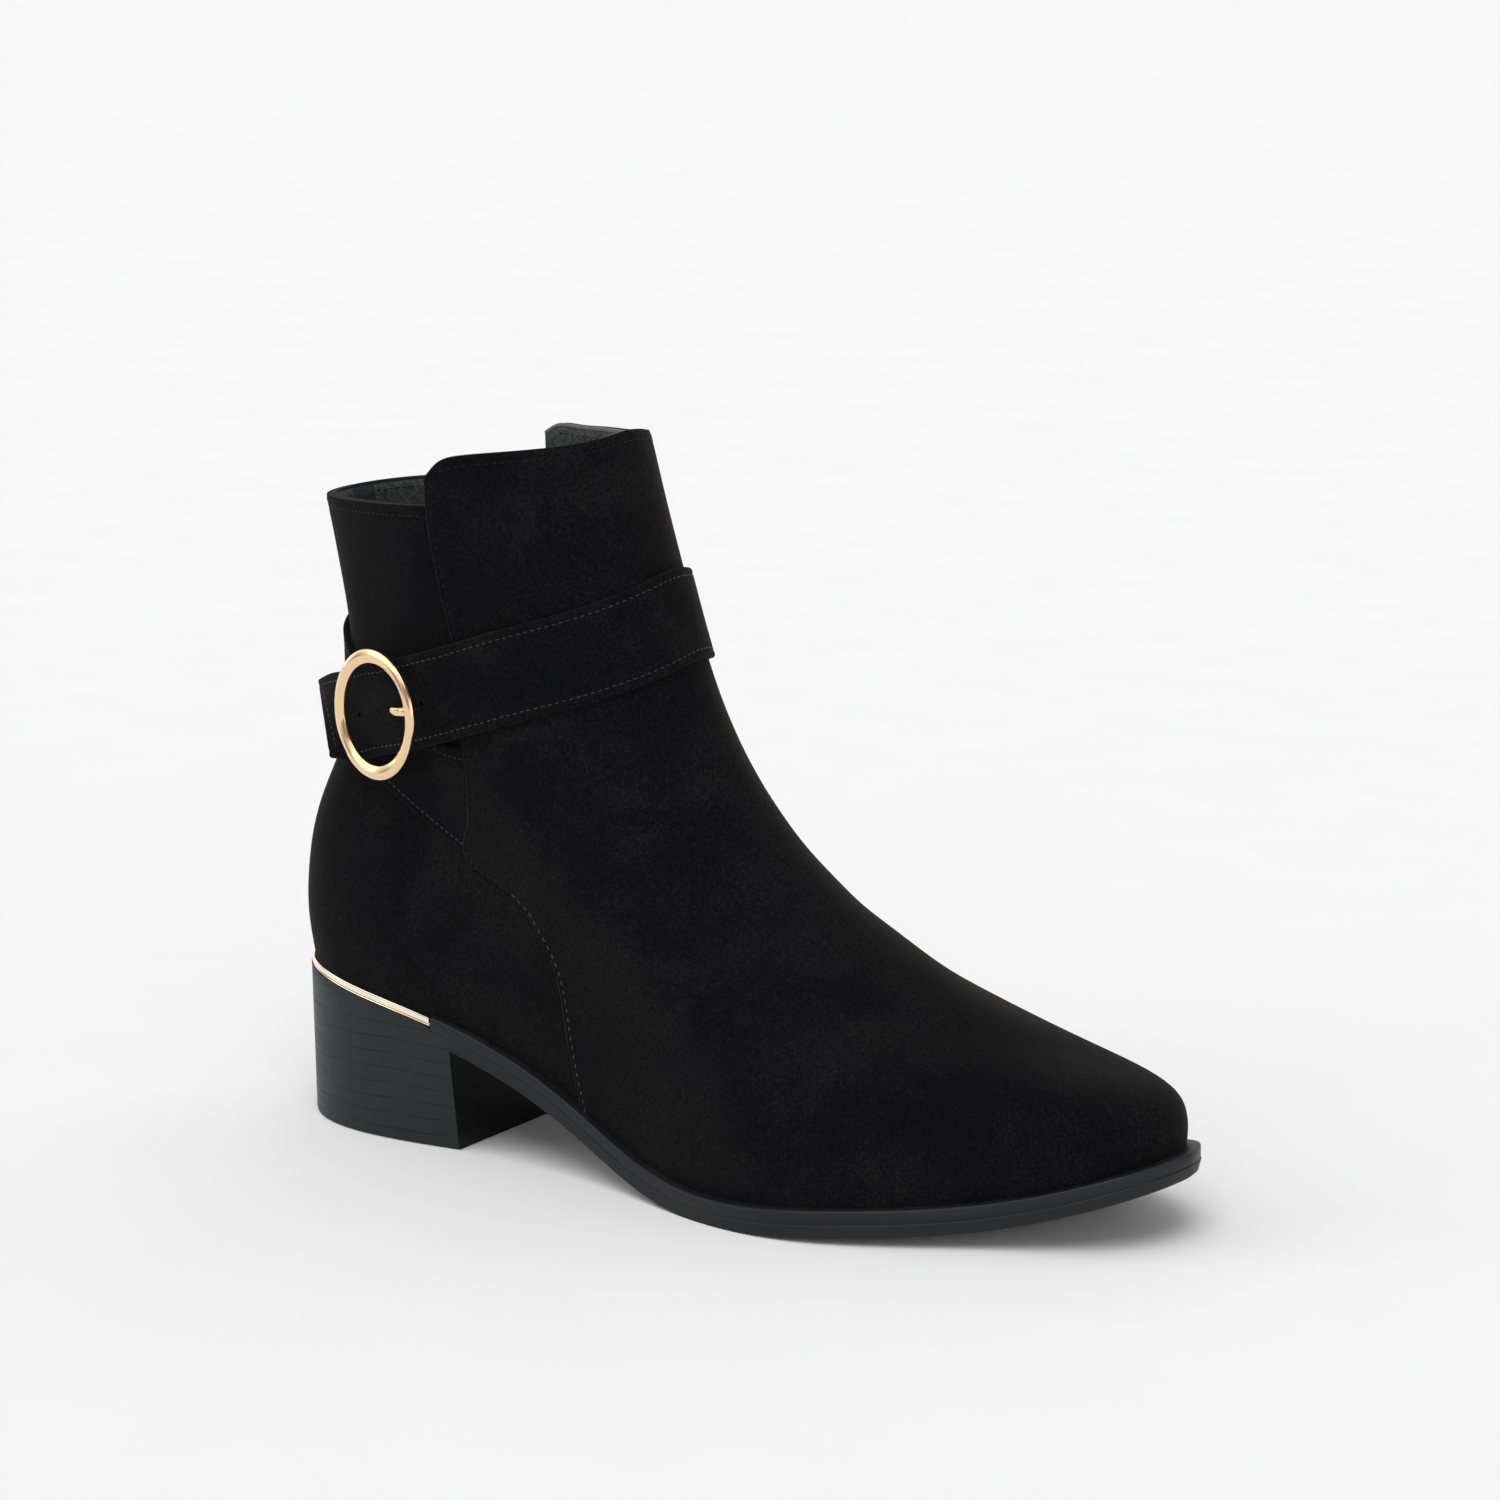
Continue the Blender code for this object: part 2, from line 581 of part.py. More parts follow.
def build_ring(frame):
    """Ring with bevelled edges and a notch for the prong, joined to the bar behind the strap."""
    half = RING_HEIGHT / 2.0
    sections = []
    for turn in np.linspace(0.0, TAU, 48, endpoint=False):
        away = abs(math.remainder(turn, TAU))
        front = half - RING_NOTCH * (1.0 - smooth((away - 0.11) / 0.08))
        profile = ((RING_INNER, -half + 0.3), (RING_INNER + 0.4, -half), (RING_OUTER - 0.4, -half),
                   (RING_OUTER, -half + 0.3), (RING_OUTER, front - 0.7), (RING_OUTER - 0.9, front),
                   (RING_INNER + 0.9, front), (RING_INNER, front - 0.7))
        sections.append([frame.place(radius * math.cos(turn), radius * math.sin(turn), out)
                         for radius, out in profile])
    solid = Solid()
    solid.loft(sections + sections[:1], capped=False)
    ring = solid.make("buckle_ring")
    line = ((14.9, -0.2), (13.9, -1.2), (13.3, -2.4), (13.0, -3.4), (12.2, -4.1), (10.8, -4.2))
    line = line + tuple((-up, out) for up, out in line[::-1])
    rod = []
    for i, (up, out) in enumerate(line):
        before, after = line[max(i - 1, 0)], line[min(i + 1, len(line) - 1)]
        direction = np.array((after[0] - before[0], after[1] - before[1]))
        side = np.array((-direction[1], direction[0])) / np.linalg.norm(direction)
        turns = np.linspace(0.0, TAU, 8, endpoint=False)
        rod.append([frame.place(BAR_RADIUS * math.cos(turn), up + BAR_RADIUS * math.sin(turn) * side[0],
                                out + BAR_RADIUS * math.sin(turn) * side[1]) for turn in turns])
    solid = Solid()
    solid.loft(rod)
    join(ring, solid.make("buckle_bar"), "UNION")
    return ring


def build_prong(frame):
    """Prong bent up through its hole and over the ring."""
    sections = []
    for i, (along, out, height, width) in enumerate(PRONG):
        before, after = PRONG[max(i - 1, 0)], PRONG[min(i + 1, len(PRONG) - 1)]
        direction = np.array((after[0] - before[0], after[1] - before[1]))
        side = np.array((-direction[1], direction[0])) / np.linalg.norm(direction)
        turns = np.linspace(0.0, TAU, 12, endpoint=False)
        sections.append([frame.place(along + height * math.sin(turn) * side[0], width * math.cos(turn),
                                     out + height * math.sin(turn) * side[1]) for turn in turns])
    solid = Solid()
    solid.loft(sections)
    return solid.make("buckle_prong")


def build_hole(frame):
    """Cutter for the strap hole that the prong goes through."""
    turns = np.linspace(0.0, TAU, 12, endpoint=False)
    sections = [[frame.place(5.3 + 2.0 * math.cos(turn), 1.8 * math.sin(turn), out) for turn in turns]
                for out in (-4.6, -0.6)]
    solid = Solid()
    solid.loft(sections)
    return solid.make("prong_hole")


def join(thing, tool, operation):
    """Boolean of a solid with a hidden tool."""
    tool.hide_render = True
    tool.display_type = "WIRE"
    change = thing.modifiers.new(operation.lower(), "BOOLEAN")
    change.operation = operation
    change.solver = "EXACT"
    change.object = tool


def finish(thing):
    """Material of a piece from the table of finishes."""
    colour, roughness, metallic = FINISHES[thing.name]
    material = bpy.data.materials.new(thing.name)
    material.use_nodes = True
    shader = material.node_tree.nodes["Principled BSDF"]
    shader.inputs["Base Color"].default_value = (*colour, 1.0)
    shader.inputs["Roughness"].default_value = roughness
    shader.inputs["Metallic"].default_value = metallic
    thing.data.materials.append(material)


def centre(things, tools):
    """Moves everything so that the boot stands on the origin."""
    points = np.array([vertex.co for thing in things for vertex in thing.data.vertices])
    low, high = points.min(axis=0), points.max(axis=0)
    shift = Matrix.Translation((-(low[0] + high[0]) / 2.0, -(low[1] + high[1]) / 2.0, -low[2]))
    for thing in things + tools:
        thing.data.transform(shift)


def main():
    """Builds the boot."""
    for thing in list(bpy.data.objects):
        bpy.data.objects.remove(thing)
    path = StrapPath()
    frame = BuckleFrame(path)
    strap = build_strap(path)
    join(strap, build_hole(frame), "DIFFERENCE")
    pieces = [build_upper(), build_insole(), build_welt(), build_strip(), build_outsole(), strap,
              build_ring(frame), build_prong(frame)]
    tools = [thing for thing in bpy.data.objects if thing not in pieces]
    centre(pieces, tools)
    for piece in pieces:
        finish(piece)


if __name__ == "__main__":
    main()
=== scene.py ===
"""Looks of a buckle ankle boot for the right foot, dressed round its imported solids.

Shapes are worked out in millimetres on the boot's last: X from the heel to the toe, Y to the
medial side and Z up from the floor. They are moved into the boot's own frame, in metres, when a
mesh is made.
"""
import logging
import math
from dataclasses import dataclass, field
from enum import Enum
from typing import Callable

import bpy
import numpy as np
from bpy.types import Material, Node, NodeSocket, NodeTree, Object
from mathutils import Matrix, Vector


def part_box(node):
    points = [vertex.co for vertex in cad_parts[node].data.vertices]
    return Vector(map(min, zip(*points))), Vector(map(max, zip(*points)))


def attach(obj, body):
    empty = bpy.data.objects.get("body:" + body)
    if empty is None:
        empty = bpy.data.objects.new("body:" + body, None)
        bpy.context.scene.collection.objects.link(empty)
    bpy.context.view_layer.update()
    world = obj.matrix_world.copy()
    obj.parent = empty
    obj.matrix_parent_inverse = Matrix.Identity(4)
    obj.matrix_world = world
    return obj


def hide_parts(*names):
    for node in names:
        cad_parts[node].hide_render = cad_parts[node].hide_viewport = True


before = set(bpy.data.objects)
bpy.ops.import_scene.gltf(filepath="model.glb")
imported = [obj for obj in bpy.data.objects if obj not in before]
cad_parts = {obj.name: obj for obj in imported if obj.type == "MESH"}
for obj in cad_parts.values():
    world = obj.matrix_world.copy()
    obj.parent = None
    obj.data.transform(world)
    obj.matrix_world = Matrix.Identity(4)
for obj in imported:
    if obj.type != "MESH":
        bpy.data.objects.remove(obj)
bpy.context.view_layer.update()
LOG = logging.getLogger("boot")
Array = np.ndarray

MM = 0.001
TAU = 2.0 * math.pi
# Range that most values of a noise texture lie in
NOISE = (0.3, 0.7)
BODY = "root"

# Level loops of the upper from the sole to above the collar, equally spaced
LEVEL_COLUMNS = ("front_x", "front_y", "front_z", "back_x", "back_z", "heel_end", "heel",
                 "waist_lat", "waist_med", "ball_lat", "ball_med", "toe_lat", "toe_med", "toe_end")
LEVELS = (
    (256.0, 4.5, 21.0, 1.0, 45.0, 63.0, 43.0, 36.5, 31.5, 52.0, 50.0, 43.0, 49.5, 49.5),
    (256.0, 4.5, 29.2, -1.5, 57.0, 60.5, 43.0, 38.0, 34.0, 51.5, 49.5, 42.5, 48.5, 48.5),
    (248.0, 3.5, 38.3, -1.5, 71.0, 55.5, 39.0, 37.0, 35.0, 47.5, 46.0, 38.0, 43.0, 43.0),
    (220.0, 2.5, 45.5, 2.0, 85.0, 50.5, 36.0, 36.5, 35.5, 43.5, 42.5, 32.5, 35.5, 35.5),
    (191.5, 1.5, 55.5, 7.5, 97.0, 46.5, 34.0, 36.0, 35.0, 39.5, 38.5, 30.0, 32.0, 31.0),
    (163.5, 0.5, 71.0, 11.5, 108.0, 43.0, 33.0, 35.0, 34.0, 36.0, 35.0, 30.0, 31.0, 30.0),
    (139.5, -0.5, 93.5, 14.0, 119.0, 42.0, 33.0, 34.0, 33.0, 33.0, 32.0, 30.0, 30.0, 30.0),
    (122.5, -0.5, 120.0, 14.5, 134.0, 41.0, 34.0, 34.0, 33.0, 33.0, 33.0, 31.0, 31.0, 31.0),
    (112.0, -0.5, 147.5, 12.0, 151.0, 41.0, 35.5, 36.0, 35.5, 34.5, 34.5, 32.5, 32.5, 32.5),
    (104.5, -0.5, 170.0, 9.0, 166.0, 41.0, 37.0, 38.0, 38.0, 36.0, 36.0, 34.0, 34.0, 34.0),
    (97.5, -0.5, 194.0, 5.0, 182.0, 42.0, 39.0, 40.0, 40.0, 37.5, 37.5, 35.0, 35.0, 35.0),
)
# Half widths of a loop on the lateral and the medial side, at shares of its length
WIDTH_STATIONS = (0.0, 0.18, 0.45, 0.70, 0.90, 1.0)
WIDTHS = (("heel_end", "heel", "waist_lat", "ball_lat", "toe_lat", "toe_end"),
          ("heel_end", "heel", "waist_med", "ball_med", "toe_med", "toe_end"))
# Level up to which the seat's curve lifts the loops
LIFT_LEVEL = 0.5

# Height of the foot's seat along the boot: x, z
SEAT = ((0.0, 45.6), (30.0, 41.3), (60.0, 35.6), (95.0, 23.2), (125.0, 10.3), (150.0, 6.8),
        (185.0, 8.8), (220.0, 12.0), (259.0, 23.2))
SEAT_RANGE = (-5.0, 264.0)

# How far the sole stands out from the upper: angle from the back in degrees, reach
REACH = ((0.0, 1.2), (55.0, 1.3), (75.0, 2.2), (100.0, 2.5), (140.0, 2.6), (160.0, 3.1),
         (180.0, 4.0))

# Back edge of the front panel: level, lateral and medial angle in degrees, depth of the step
SEAM = ((0.0, 79.0, 79.0, 0.8), (0.20, 77.6, 77.6, 0.8), (0.30, 77.4, 76.0, 0.9),
        (0.325, 75.4, 75.6, 1.2), (0.345, 68.0, 75.4, 1.6), (0.365, 67.3, 75.2, 1.6),
        (0.47, 73.5, 75.0, 1.6), (0.575, 81.0, 75.6, 1.6), (0.61, 83.0, 76.0, 1.6),
        (0.74, 91.0, 76.6, 1.2), (0.79, 91.8, 77.0, 1.1), (0.83, 93.0, 77.4, 1.1),
        (0.875, 94.2, 78.0, 1.1), (0.915, 96.0, 78.8, 1.1), (1.0, 102.0, 82.0, 1.1))

# Top of the front panel: share of the way from its edge to the front, height on each side
TOP = ((0.0, 178.5, 181.0), (0.05, 182.3, 183.2), (0.12, 184.2, 183.5), (0.25, 185.2, 183.9),
       (0.4, 186.0, 184.6), (0.55, 186.7, 185.7), (0.7, 187.6, 187.0), (0.84, 188.7, 188.4),
       (0.93, 189.3, 189.2), (1.0, 189.5, 189.5))

# Soft hollows of the flexed upper: level, angle, half length, half width, depth, turn from level
HOLLOWS = ((0.42, 128.0, 26.0, 6.0, 0.40, 24.0), (0.50, 122.0, 22.0, 5.0, 0.32, 34.0),
           (0.33, 150.0, 24.0, 6.5, 0.30, 12.0), (0.66, 118.0, 18.0, 6.0, 0.28, -12.0),
           (0.30, 38.0, 22.0, 7.0, 0.30, 40.0), (0.44, -128.0, 24.0, 6.0, 0.36, -24.0))

# Section of the collar's rims: face that it is measured from, distance out, rise
RIM = (("outer", 0.0, -1.2), ("outer", 0.0, -0.35), ("outer", -0.15, -0.1), ("inner", 0.35, 0.0),
       ("inner", 0.1, -0.1), ("inner", 0.0, -0.35), ("inner", 0.0, -0.8), ("inner", 0.4, -1.2),
       ("outer", 0.0, -1.2))

# Sections of the welt and the gold strip: out from the sole's side, drop under the seat
WELT = ((-2.4, 0.1), (-0.7, 0.3), (-0.2, 0.5), (0.0, 0.9), (0.0, 3.8), (-0.1, 3.95), (-0.7, 3.95))
STRIP = ((-1.8, 0.6), (-0.3, 0.6), (-0.1, 0.66), (0.0, 0.82), (0.02, 1.3), (0.0, 1.9),
         (-0.08, 2.08), (-0.3, 2.16), (-0.8, 2.18), (-0.8, 2.46), (-0.4, 2.48), (-0.2, 2.54),
         (-0.14, 2.68), (-0.2, 2.82), (-0.4, 2.88), (-1.8, 2.9))

# Upper edge of the outsole: out from the sole's side, drop under its top
HEEL_LIP = ((-0.8, 0.0), (-0.25, 0.1), (0.0, 0.5))
FORE_LIP = ((-0.8, 0.0), (-0.2, 0.12), (0.0, 0.4))
# Lower edge of the heel: out from its tapered side, height over the floor
HEEL_FOOT = ((0.0, 0.8), (-0.15, 0.25), (-0.7, 0.0))
# Lower edge of the forefoot: out from the sole's side, rise over the underside, undercut's share
FORE_FOOT = ((0.0, 0.5, 0.5), (-0.3, 0.12, 0.75), (-0.8, 0.0, 1.0))

# Strap from the lateral seam round the back and the front: angle, height, stand-off, thickness
STRAP = ((86.0, 84.5, 0.3, 1.2), (74.5, 91.0, 0.3, 1.2), (66.0, 97.0, 0.3, 1.3),
         (53.0, 105.8, 0.3, 1.4), (36.0, 115.0, 0.3, 1.6), (20.0, 121.5, 0.3, 1.6),
         (0.0, 126.0, 0.3, 1.6), (-30.0, 129.5, 0.3, 1.6), (-60.0, 132.0, 0.3, 1.6),
         (-90.0, 134.0, 0.3, 1.6), (-120.0, 136.5, 0.3, 1.6), (-150.0, 140.0, 0.3, 1.6),
         (-180.0, 142.5, 0.3, 1.6), (-195.0, 140.8, 0.3, 1.6), (-209.0, 138.3, 0.3, 1.6),
         (-234.0, 133.2, 0.3, 1.6), (-246.0, 130.6, 0.4, 1.6), (-258.0, 127.7, 0.6, 1.6),
         (-270.0, 124.4, 1.4, 1.6), (-281.0, 121.5, 2.8, 1.6), (-291.0, 118.9, 3.7, 1.6),
         (-300.0, 116.8, 4.0, 1.6), (-308.0, 115.0, 3.8, 1.6), (-317.0, 112.5, 3.5, 1.6),
         (-326.0, 110.5, 4.1, 1.6), (-333.0, 108.5, 5.6, 1.6))
# Upper half of the strap's outer face, and its inner face: share across, share of the thickness
STRAP_FACE = ((0.0, 1.0), (0.25, 1.0), (0.5, 1.0), (0.74, 1.0), (0.82, 0.92), (0.9, 1.0),
              (0.95, 1.0), (0.985, 0.84), (1.0, 0.58))
STRAP_BACK = ((1.0, 0.2), (0.97, 0.0), (0.5, 0.0), (0.0, 0.0), (-0.5, 0.0), (-0.97, 0.0),
              (-1.0, 0.2))

# Section of the ring: share of the way from its inner to its outer edge, out from its middle
RING = ((0.0, -0.9), (0.05, -1.1), (0.7, -1.1), (1.0, -0.2), (1.0, 0.4), (0.985, 0.52),
        (0.95, 0.62), (0.61, 1.05), (0.56, 1.09), (0.51, 1.1), (0.46, 1.06), (0.05, 0.38),
        (0.015, 0.3), (0.0, 0.18), (0.0, -0.9))
# Upper half of the bar in the ring's frame: up, out from the ring
BAR = ((15.3, -0.8), (15.3, -2.4), (15.0, -4.4), (14.2, -6.0), (12.8, -6.9), (11.0, -7.1))
# Prong in the ring's frame: along the strap, up, out from the ring, half height, half width
PRONG = ((4.0, 0.1, -5.3, 0.6, 0.9), (4.3, 0.1, -4.2, 0.65, 1.0), (4.9, 0.1, -2.9, 0.7, 1.1),
         (6.2, 0.0, -1.4, 0.75, 1.2), (8.5, -0.3, -0.4, 0.75, 1.2), (11.5, -0.75, 0.1, 0.75, 1.2),
         (13.5, -1.0, 0.1, 0.7, 1.1), (14.4, -1.1, 0.0, 0.45, 0.8))


class Side(Enum):
    """Side of the boot, in the order of the tables' columns."""

    LATERAL = 0
    MEDIAL = 1


class Closing(Enum):
    """How a shaped grid is closed."""

    OPEN = "open"
    ROUND = "round"
    CAPPED = "capped"


def column(table: tuple, place: int) -> Array:
    """Values of one column of a table."""
    return np.array([row[place] for row in table], float)


def smooth(t: Array) -> Array:
    """Soft step from 0 to 1."""
    t = np.clip(t, 0.0, 1.0)
    return t * t * (3.0 - 2.0 * t)


def unit(vectors: Array) -> Array:
    """Vectors of length one."""
    return vectors / np.linalg.norm(vectors, axis=-1, keepdims=True)


def span_of(knots: Array, at: Array) -> Array:
    """Number of the knot before each place."""
    return np.clip(np.searchsorted(knots, at) - 1, 0, len(knots) - 2)


class Cubic:
    """Natural cubic through values at knots."""

    def __init__(self, knots: Array, values: Array | None = None) -> None:
        """Keeps the knots and the matrix that turns values into second slopes.

        Args:
            knots: Rising places of the values.
            values: Values at the knots, one column for each curve.
        """
        self.knots = np.asarray(knots, float)
        count, steps = len(self.knots), np.diff(self.knots)
        system, right = np.eye(count), np.zeros((count, count))
        for i in range(1, count - 1):
            system[i, i - 1:i + 2] = steps[i - 1], 2.0 * (steps[i - 1] + steps[i]), steps[i]
            before, after = 6.0 / steps[i - 1], 6.0 / steps[i]
            right[i, i - 1:i + 2] = before, -before - after, after
        self.bends = np.linalg.solve(system, right)
        self.values = None if values is None else np.asarray(values, float)

    def weights(self, at: Array) -> Array:
        """Share of each knot's value in the curve at places, on a last axis."""
        at = np.asarray(at, float)
        i = span_of(self.knots, at)
        step = (self.knots[i + 1] - self.knots[i])[..., None]
        t = (at - self.knots[i])[..., None]
        whole = np.eye(len(self.knots))
        low, high, bend, next_bend = whole[i], whole[i + 1], self.bends[i], self.bends[i + 1]
        slope = (high - low) / step - step * (2.0 * bend + next_bend) / 6.0
        return low + t * slope + t * t * bend / 2.0 + t ** 3 * (next_bend - bend) / (6.0 * step)

    def __call__(self, at: Array) -> Array:
        """Values of the curves at places."""
        return self.weights(at) @ self.values


class Monotone:
    """Smooth curve through a table that doesn't swing past its values."""

    def __init__(self, knots: Array, values: Array) -> None:
        """Works out the slopes at the knots.

        Args:
            knots: Rising places of the values.
            values: Values at the knots.
        """
        self.knots, self.values = np.asarray(knots, float), np.asarray(values, float)
        rise = np.diff(self.values) / np.diff(self.knots)
        self.slopes = np.zeros(len(self.knots))
        for i in range(1, len(rise)):
            if rise[i - 1] * rise[i] > 0.0:
                self.slopes[i] = 2.0 * rise[i - 1] * rise[i] / (rise[i - 1] + rise[i])
        self.slopes[0], self.slopes[-1] = rise[0], rise[-1]

    def __call__(self, at: Array) -> Array:
        """Values of the curve at places."""
        at = np.asarray(at, float)
        i = span_of(self.knots, at)
        step = self.knots[i + 1] - self.knots[i]
        t = (at - self.knots[i]) / step
        low, high = self.values[i], self.values[i + 1]
        bend = t * (1.0 - t) * ((1.0 - t) * self.slopes[i] - t * self.slopes[i + 1]) * step
        return low + (high - low) * t * t * (3.0 - 2.0 * t) + bend


class BootLast:
    """Outside form of the boot, read by level and by angle round it."""

    # Levels between which a height is looked for, and share of the way round where the step starts
    search: tuple = (0.3, 1.0)
    step_start: float = 0.4

    def __init__(self) -> None:
        """Sets up the curves and the way from the last's frame to the boot's."""
        self.levels = Cubic(np.linspace(0.0, 1.0, len(LEVELS)), LEVELS)
        self.seat_curve = Cubic(column(SEAT, 0), column(SEAT, 1))
        self.reach_curve = Cubic(column(REACH, 0), column(REACH, 1))
        self.width = Cubic(WIDTH_STATIONS)
        self.seams = {side: Monotone(column(SEAM, 0), np.radians(column(SEAM, 1 + side.value)))
                      for side in Side}
        self.steps = Monotone(column(SEAM, 0), column(SEAM, 3))
        turns = np.linspace(0.0, TAU, 721)
        far = self.sole_point(turns, self.reach(turns)).max(0)
        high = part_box("welt")[1]
        self.shift = np.array((high.x / MM - far[0], high.y / MM - far[1], 0.0))

    def point(self, level: Array, angle: Array) -> Array:
        """Points of the form.

        Args:
            level: 0 at the sole and 1 above the collar.
            angle: 0 at the back and pi at the toe, by way of the lateral side.

        Returns:
            Points in millimetres on the last axis.
        """
        level, angle = np.broadcast_arrays(np.asarray(level, float), np.asarray(angle, float))
        turn = np.mod(angle, TAU)
        row = dict(zip(LEVEL_COLUMNS, np.moveaxis(self.levels(level), -1, 0)))
        share = (1.0 - np.cos(turn)) / 2.0
        sides = [np.stack([row[name] for name in names], -1) for names in WIDTHS]
        widths = np.where((turn <= math.pi)[..., None], *sides)
        width = (self.width.weights(share) * widths).sum(-1)
        x = row["back_x"] + (row["front_x"] - row["back_x"]) * share
        y = row["front_y"] * share ** 2 - np.sin(turn) * width
        low = dict(zip(LEVEL_COLUMNS, LEVELS[0]))
        along = np.clip((x - low["back_x"]) / (low["front_x"] - low["back_x"]), 0.0, 1.0)
        lift = self.seat(x) - (low["back_z"] + (low["front_z"] - low["back_z"]) * along)
        fade = np.maximum(0.0, 1.0 - level / LIFT_LEVEL) ** 2
        z = row["back_z"] + (row["front_z"] - row["back_z"]) * share + lift * fade
        return np.stack((x, y, z), -1)

    def slopes(self, level: Array, angle: Array) -> tuple[Array, Array]:
        """Change of the form with the level and with the angle."""
        step = 0.002
        by_level = self.point(level + step, angle) - self.point(level - step, angle)
        by_angle = self.point(level, angle + step) - self.point(level, angle - step)
        return by_level / (2.0 * step), by_angle / (2.0 * step)

    def normal(self, level: Array, angle: Array) -> Array:
        """Directions out of the form."""
        by_level, by_angle = self.slopes(level, angle)
        return unit(np.cross(by_angle, by_level))

    def level_at(self, angle_of: Callable, height: Array) -> Array:
        """Levels at which lines up the form reach heights.

        Args:
            angle_of: Gives the angle of each line at given levels.
            height: Heights to reach.

        Returns:
            One level for each line.
        """
        low, high = [np.full(np.shape(height), level) for level in self.search]
        for _ in range(32):
            middle = (low + high) / 2.0
            under = self.point(middle, angle_of(middle))[..., 2] < height
            low, high = np.where(under, middle, low), np.where(under, high, middle)
        return (low + high) / 2.0

    def seat(self, x: Array) -> Array:
        """Height of the foot's seat along the boot."""
        return self.seat_curve(np.clip(x, *SEAT_RANGE))

    def reach(self, angle: Array) -> Array:
        """Reach of the sole's side at stations."""
        turn = np.mod(angle, TAU)
        return self.reach_curve(np.degrees(np.minimum(turn, TAU - turn)))

    def sole_point(self, angle: Array, reach: Array) -> Array:
        """Plan points of the sole's outline, moved out from the upper's lower edge by a reach."""
        step = 0.004
        level = np.zeros(np.shape(angle))
        along = self.point(level, angle + step) - self.point(level, angle - step)
        out = unit(np.stack((along[..., 1], -along[..., 0]), -1))
        return self.point(level, angle)[..., :2] + np.asarray(reach)[..., None] * out

    def sole_edge(self, angle: Array, reach: Array, drop: Array) -> Array:
        """Points of the sole's side, dropped under the seat."""
        plan = self.sole_point(angle, reach)
        return np.concatenate((plan, (self.seat(plan[..., 0]) - drop)[..., None]), -1)

    def step_depth(self, level: Array, angle: Array) -> Array:
        """Depth of the back part under the form, growing to the front panel's edges."""
        lateral, medial = [self.seams[side](level) for side in Side]
        share = np.minimum(np.abs(angle) / np.where(angle >= 0.0, lateral, medial), 1.0)
        return -self.steps(level) * smooth((share - self.step_start) / (1.0 - self.step_start))


def arc_lengths(points: Array, axis: int) -> Array:
    """Distance along a grid's lines from their start.

    Args:
        points: Grid of points.
        axis: 0 to go up the columns, 1 to go along the rows.

    Returns:
        A distance for each point.
    """
    steps = np.linalg.norm(np.diff(points, axis=axis), axis=-1)
    start = np.zeros_like(np.take(steps, [0], axis))
    return np.concatenate((start, np.cumsum(steps, axis)), axis)


def read_line(at: Array, lengths: Array, values: Array) -> Array:
    """Values at lengths along a line."""
    return np.stack([np.interp(at, lengths, part) for part in values.T], -1)


def resample(line: Array, pitch: float, normals: Array) -> list[Array]:
    """Points at a pitch along a line.

    Args:
        line: Points of the line.
        pitch: Distance between the new points.
        normals: Normals at the line's points.

    Returns:
        New points, their directions and their normals.
    """
    lengths = arc_lengths(line[None], 1)[0]
    places = np.arange(pitch, lengths[-1] - pitch / 2.0, pitch)
    point, ahead, behind = [read_line(places + step * pitch, lengths, line)
                            for step in (0.0, 0.25, -0.25)]
    return [point, unit(ahead - behind), unit(read_line(places, lengths, normals))]


def deselect() -> None:
    """Leaves nothing selected."""
    if bpy.context.object and bpy.context.object.mode != "OBJECT":
        bpy.ops.object.mode_set(mode="OBJECT")
    bpy.ops.object.select_all(action="DESELECT")


def make_active(piece: Object) -> None:
    """Selects one piece alone."""
    deselect()
    piece.select_set(True)
    bpy.context.view_layer.objects.active = piece


def apply_modifier(piece: Object, kind: str, **settings: object) -> None:
    """Adds a modifier with its settings and applies it.

    Args:
        piece: Piece to change.
        kind: Kind of modifier.
        settings: Its values.
    """
    change = piece.modifiers.new(kind.lower(), kind)
    for name, value in settings.items():
        setattr(change, name, value)
    make_active(piece)
    bpy.ops.object.modifier_apply(modifier=change.name)


def thicken(piece: Object, thick: float) -> None:
    """Gives a sheet a thickness behind its face."""
    apply_modifier(piece, "SOLIDIFY", thickness=thick * MM, offset=-1.0)


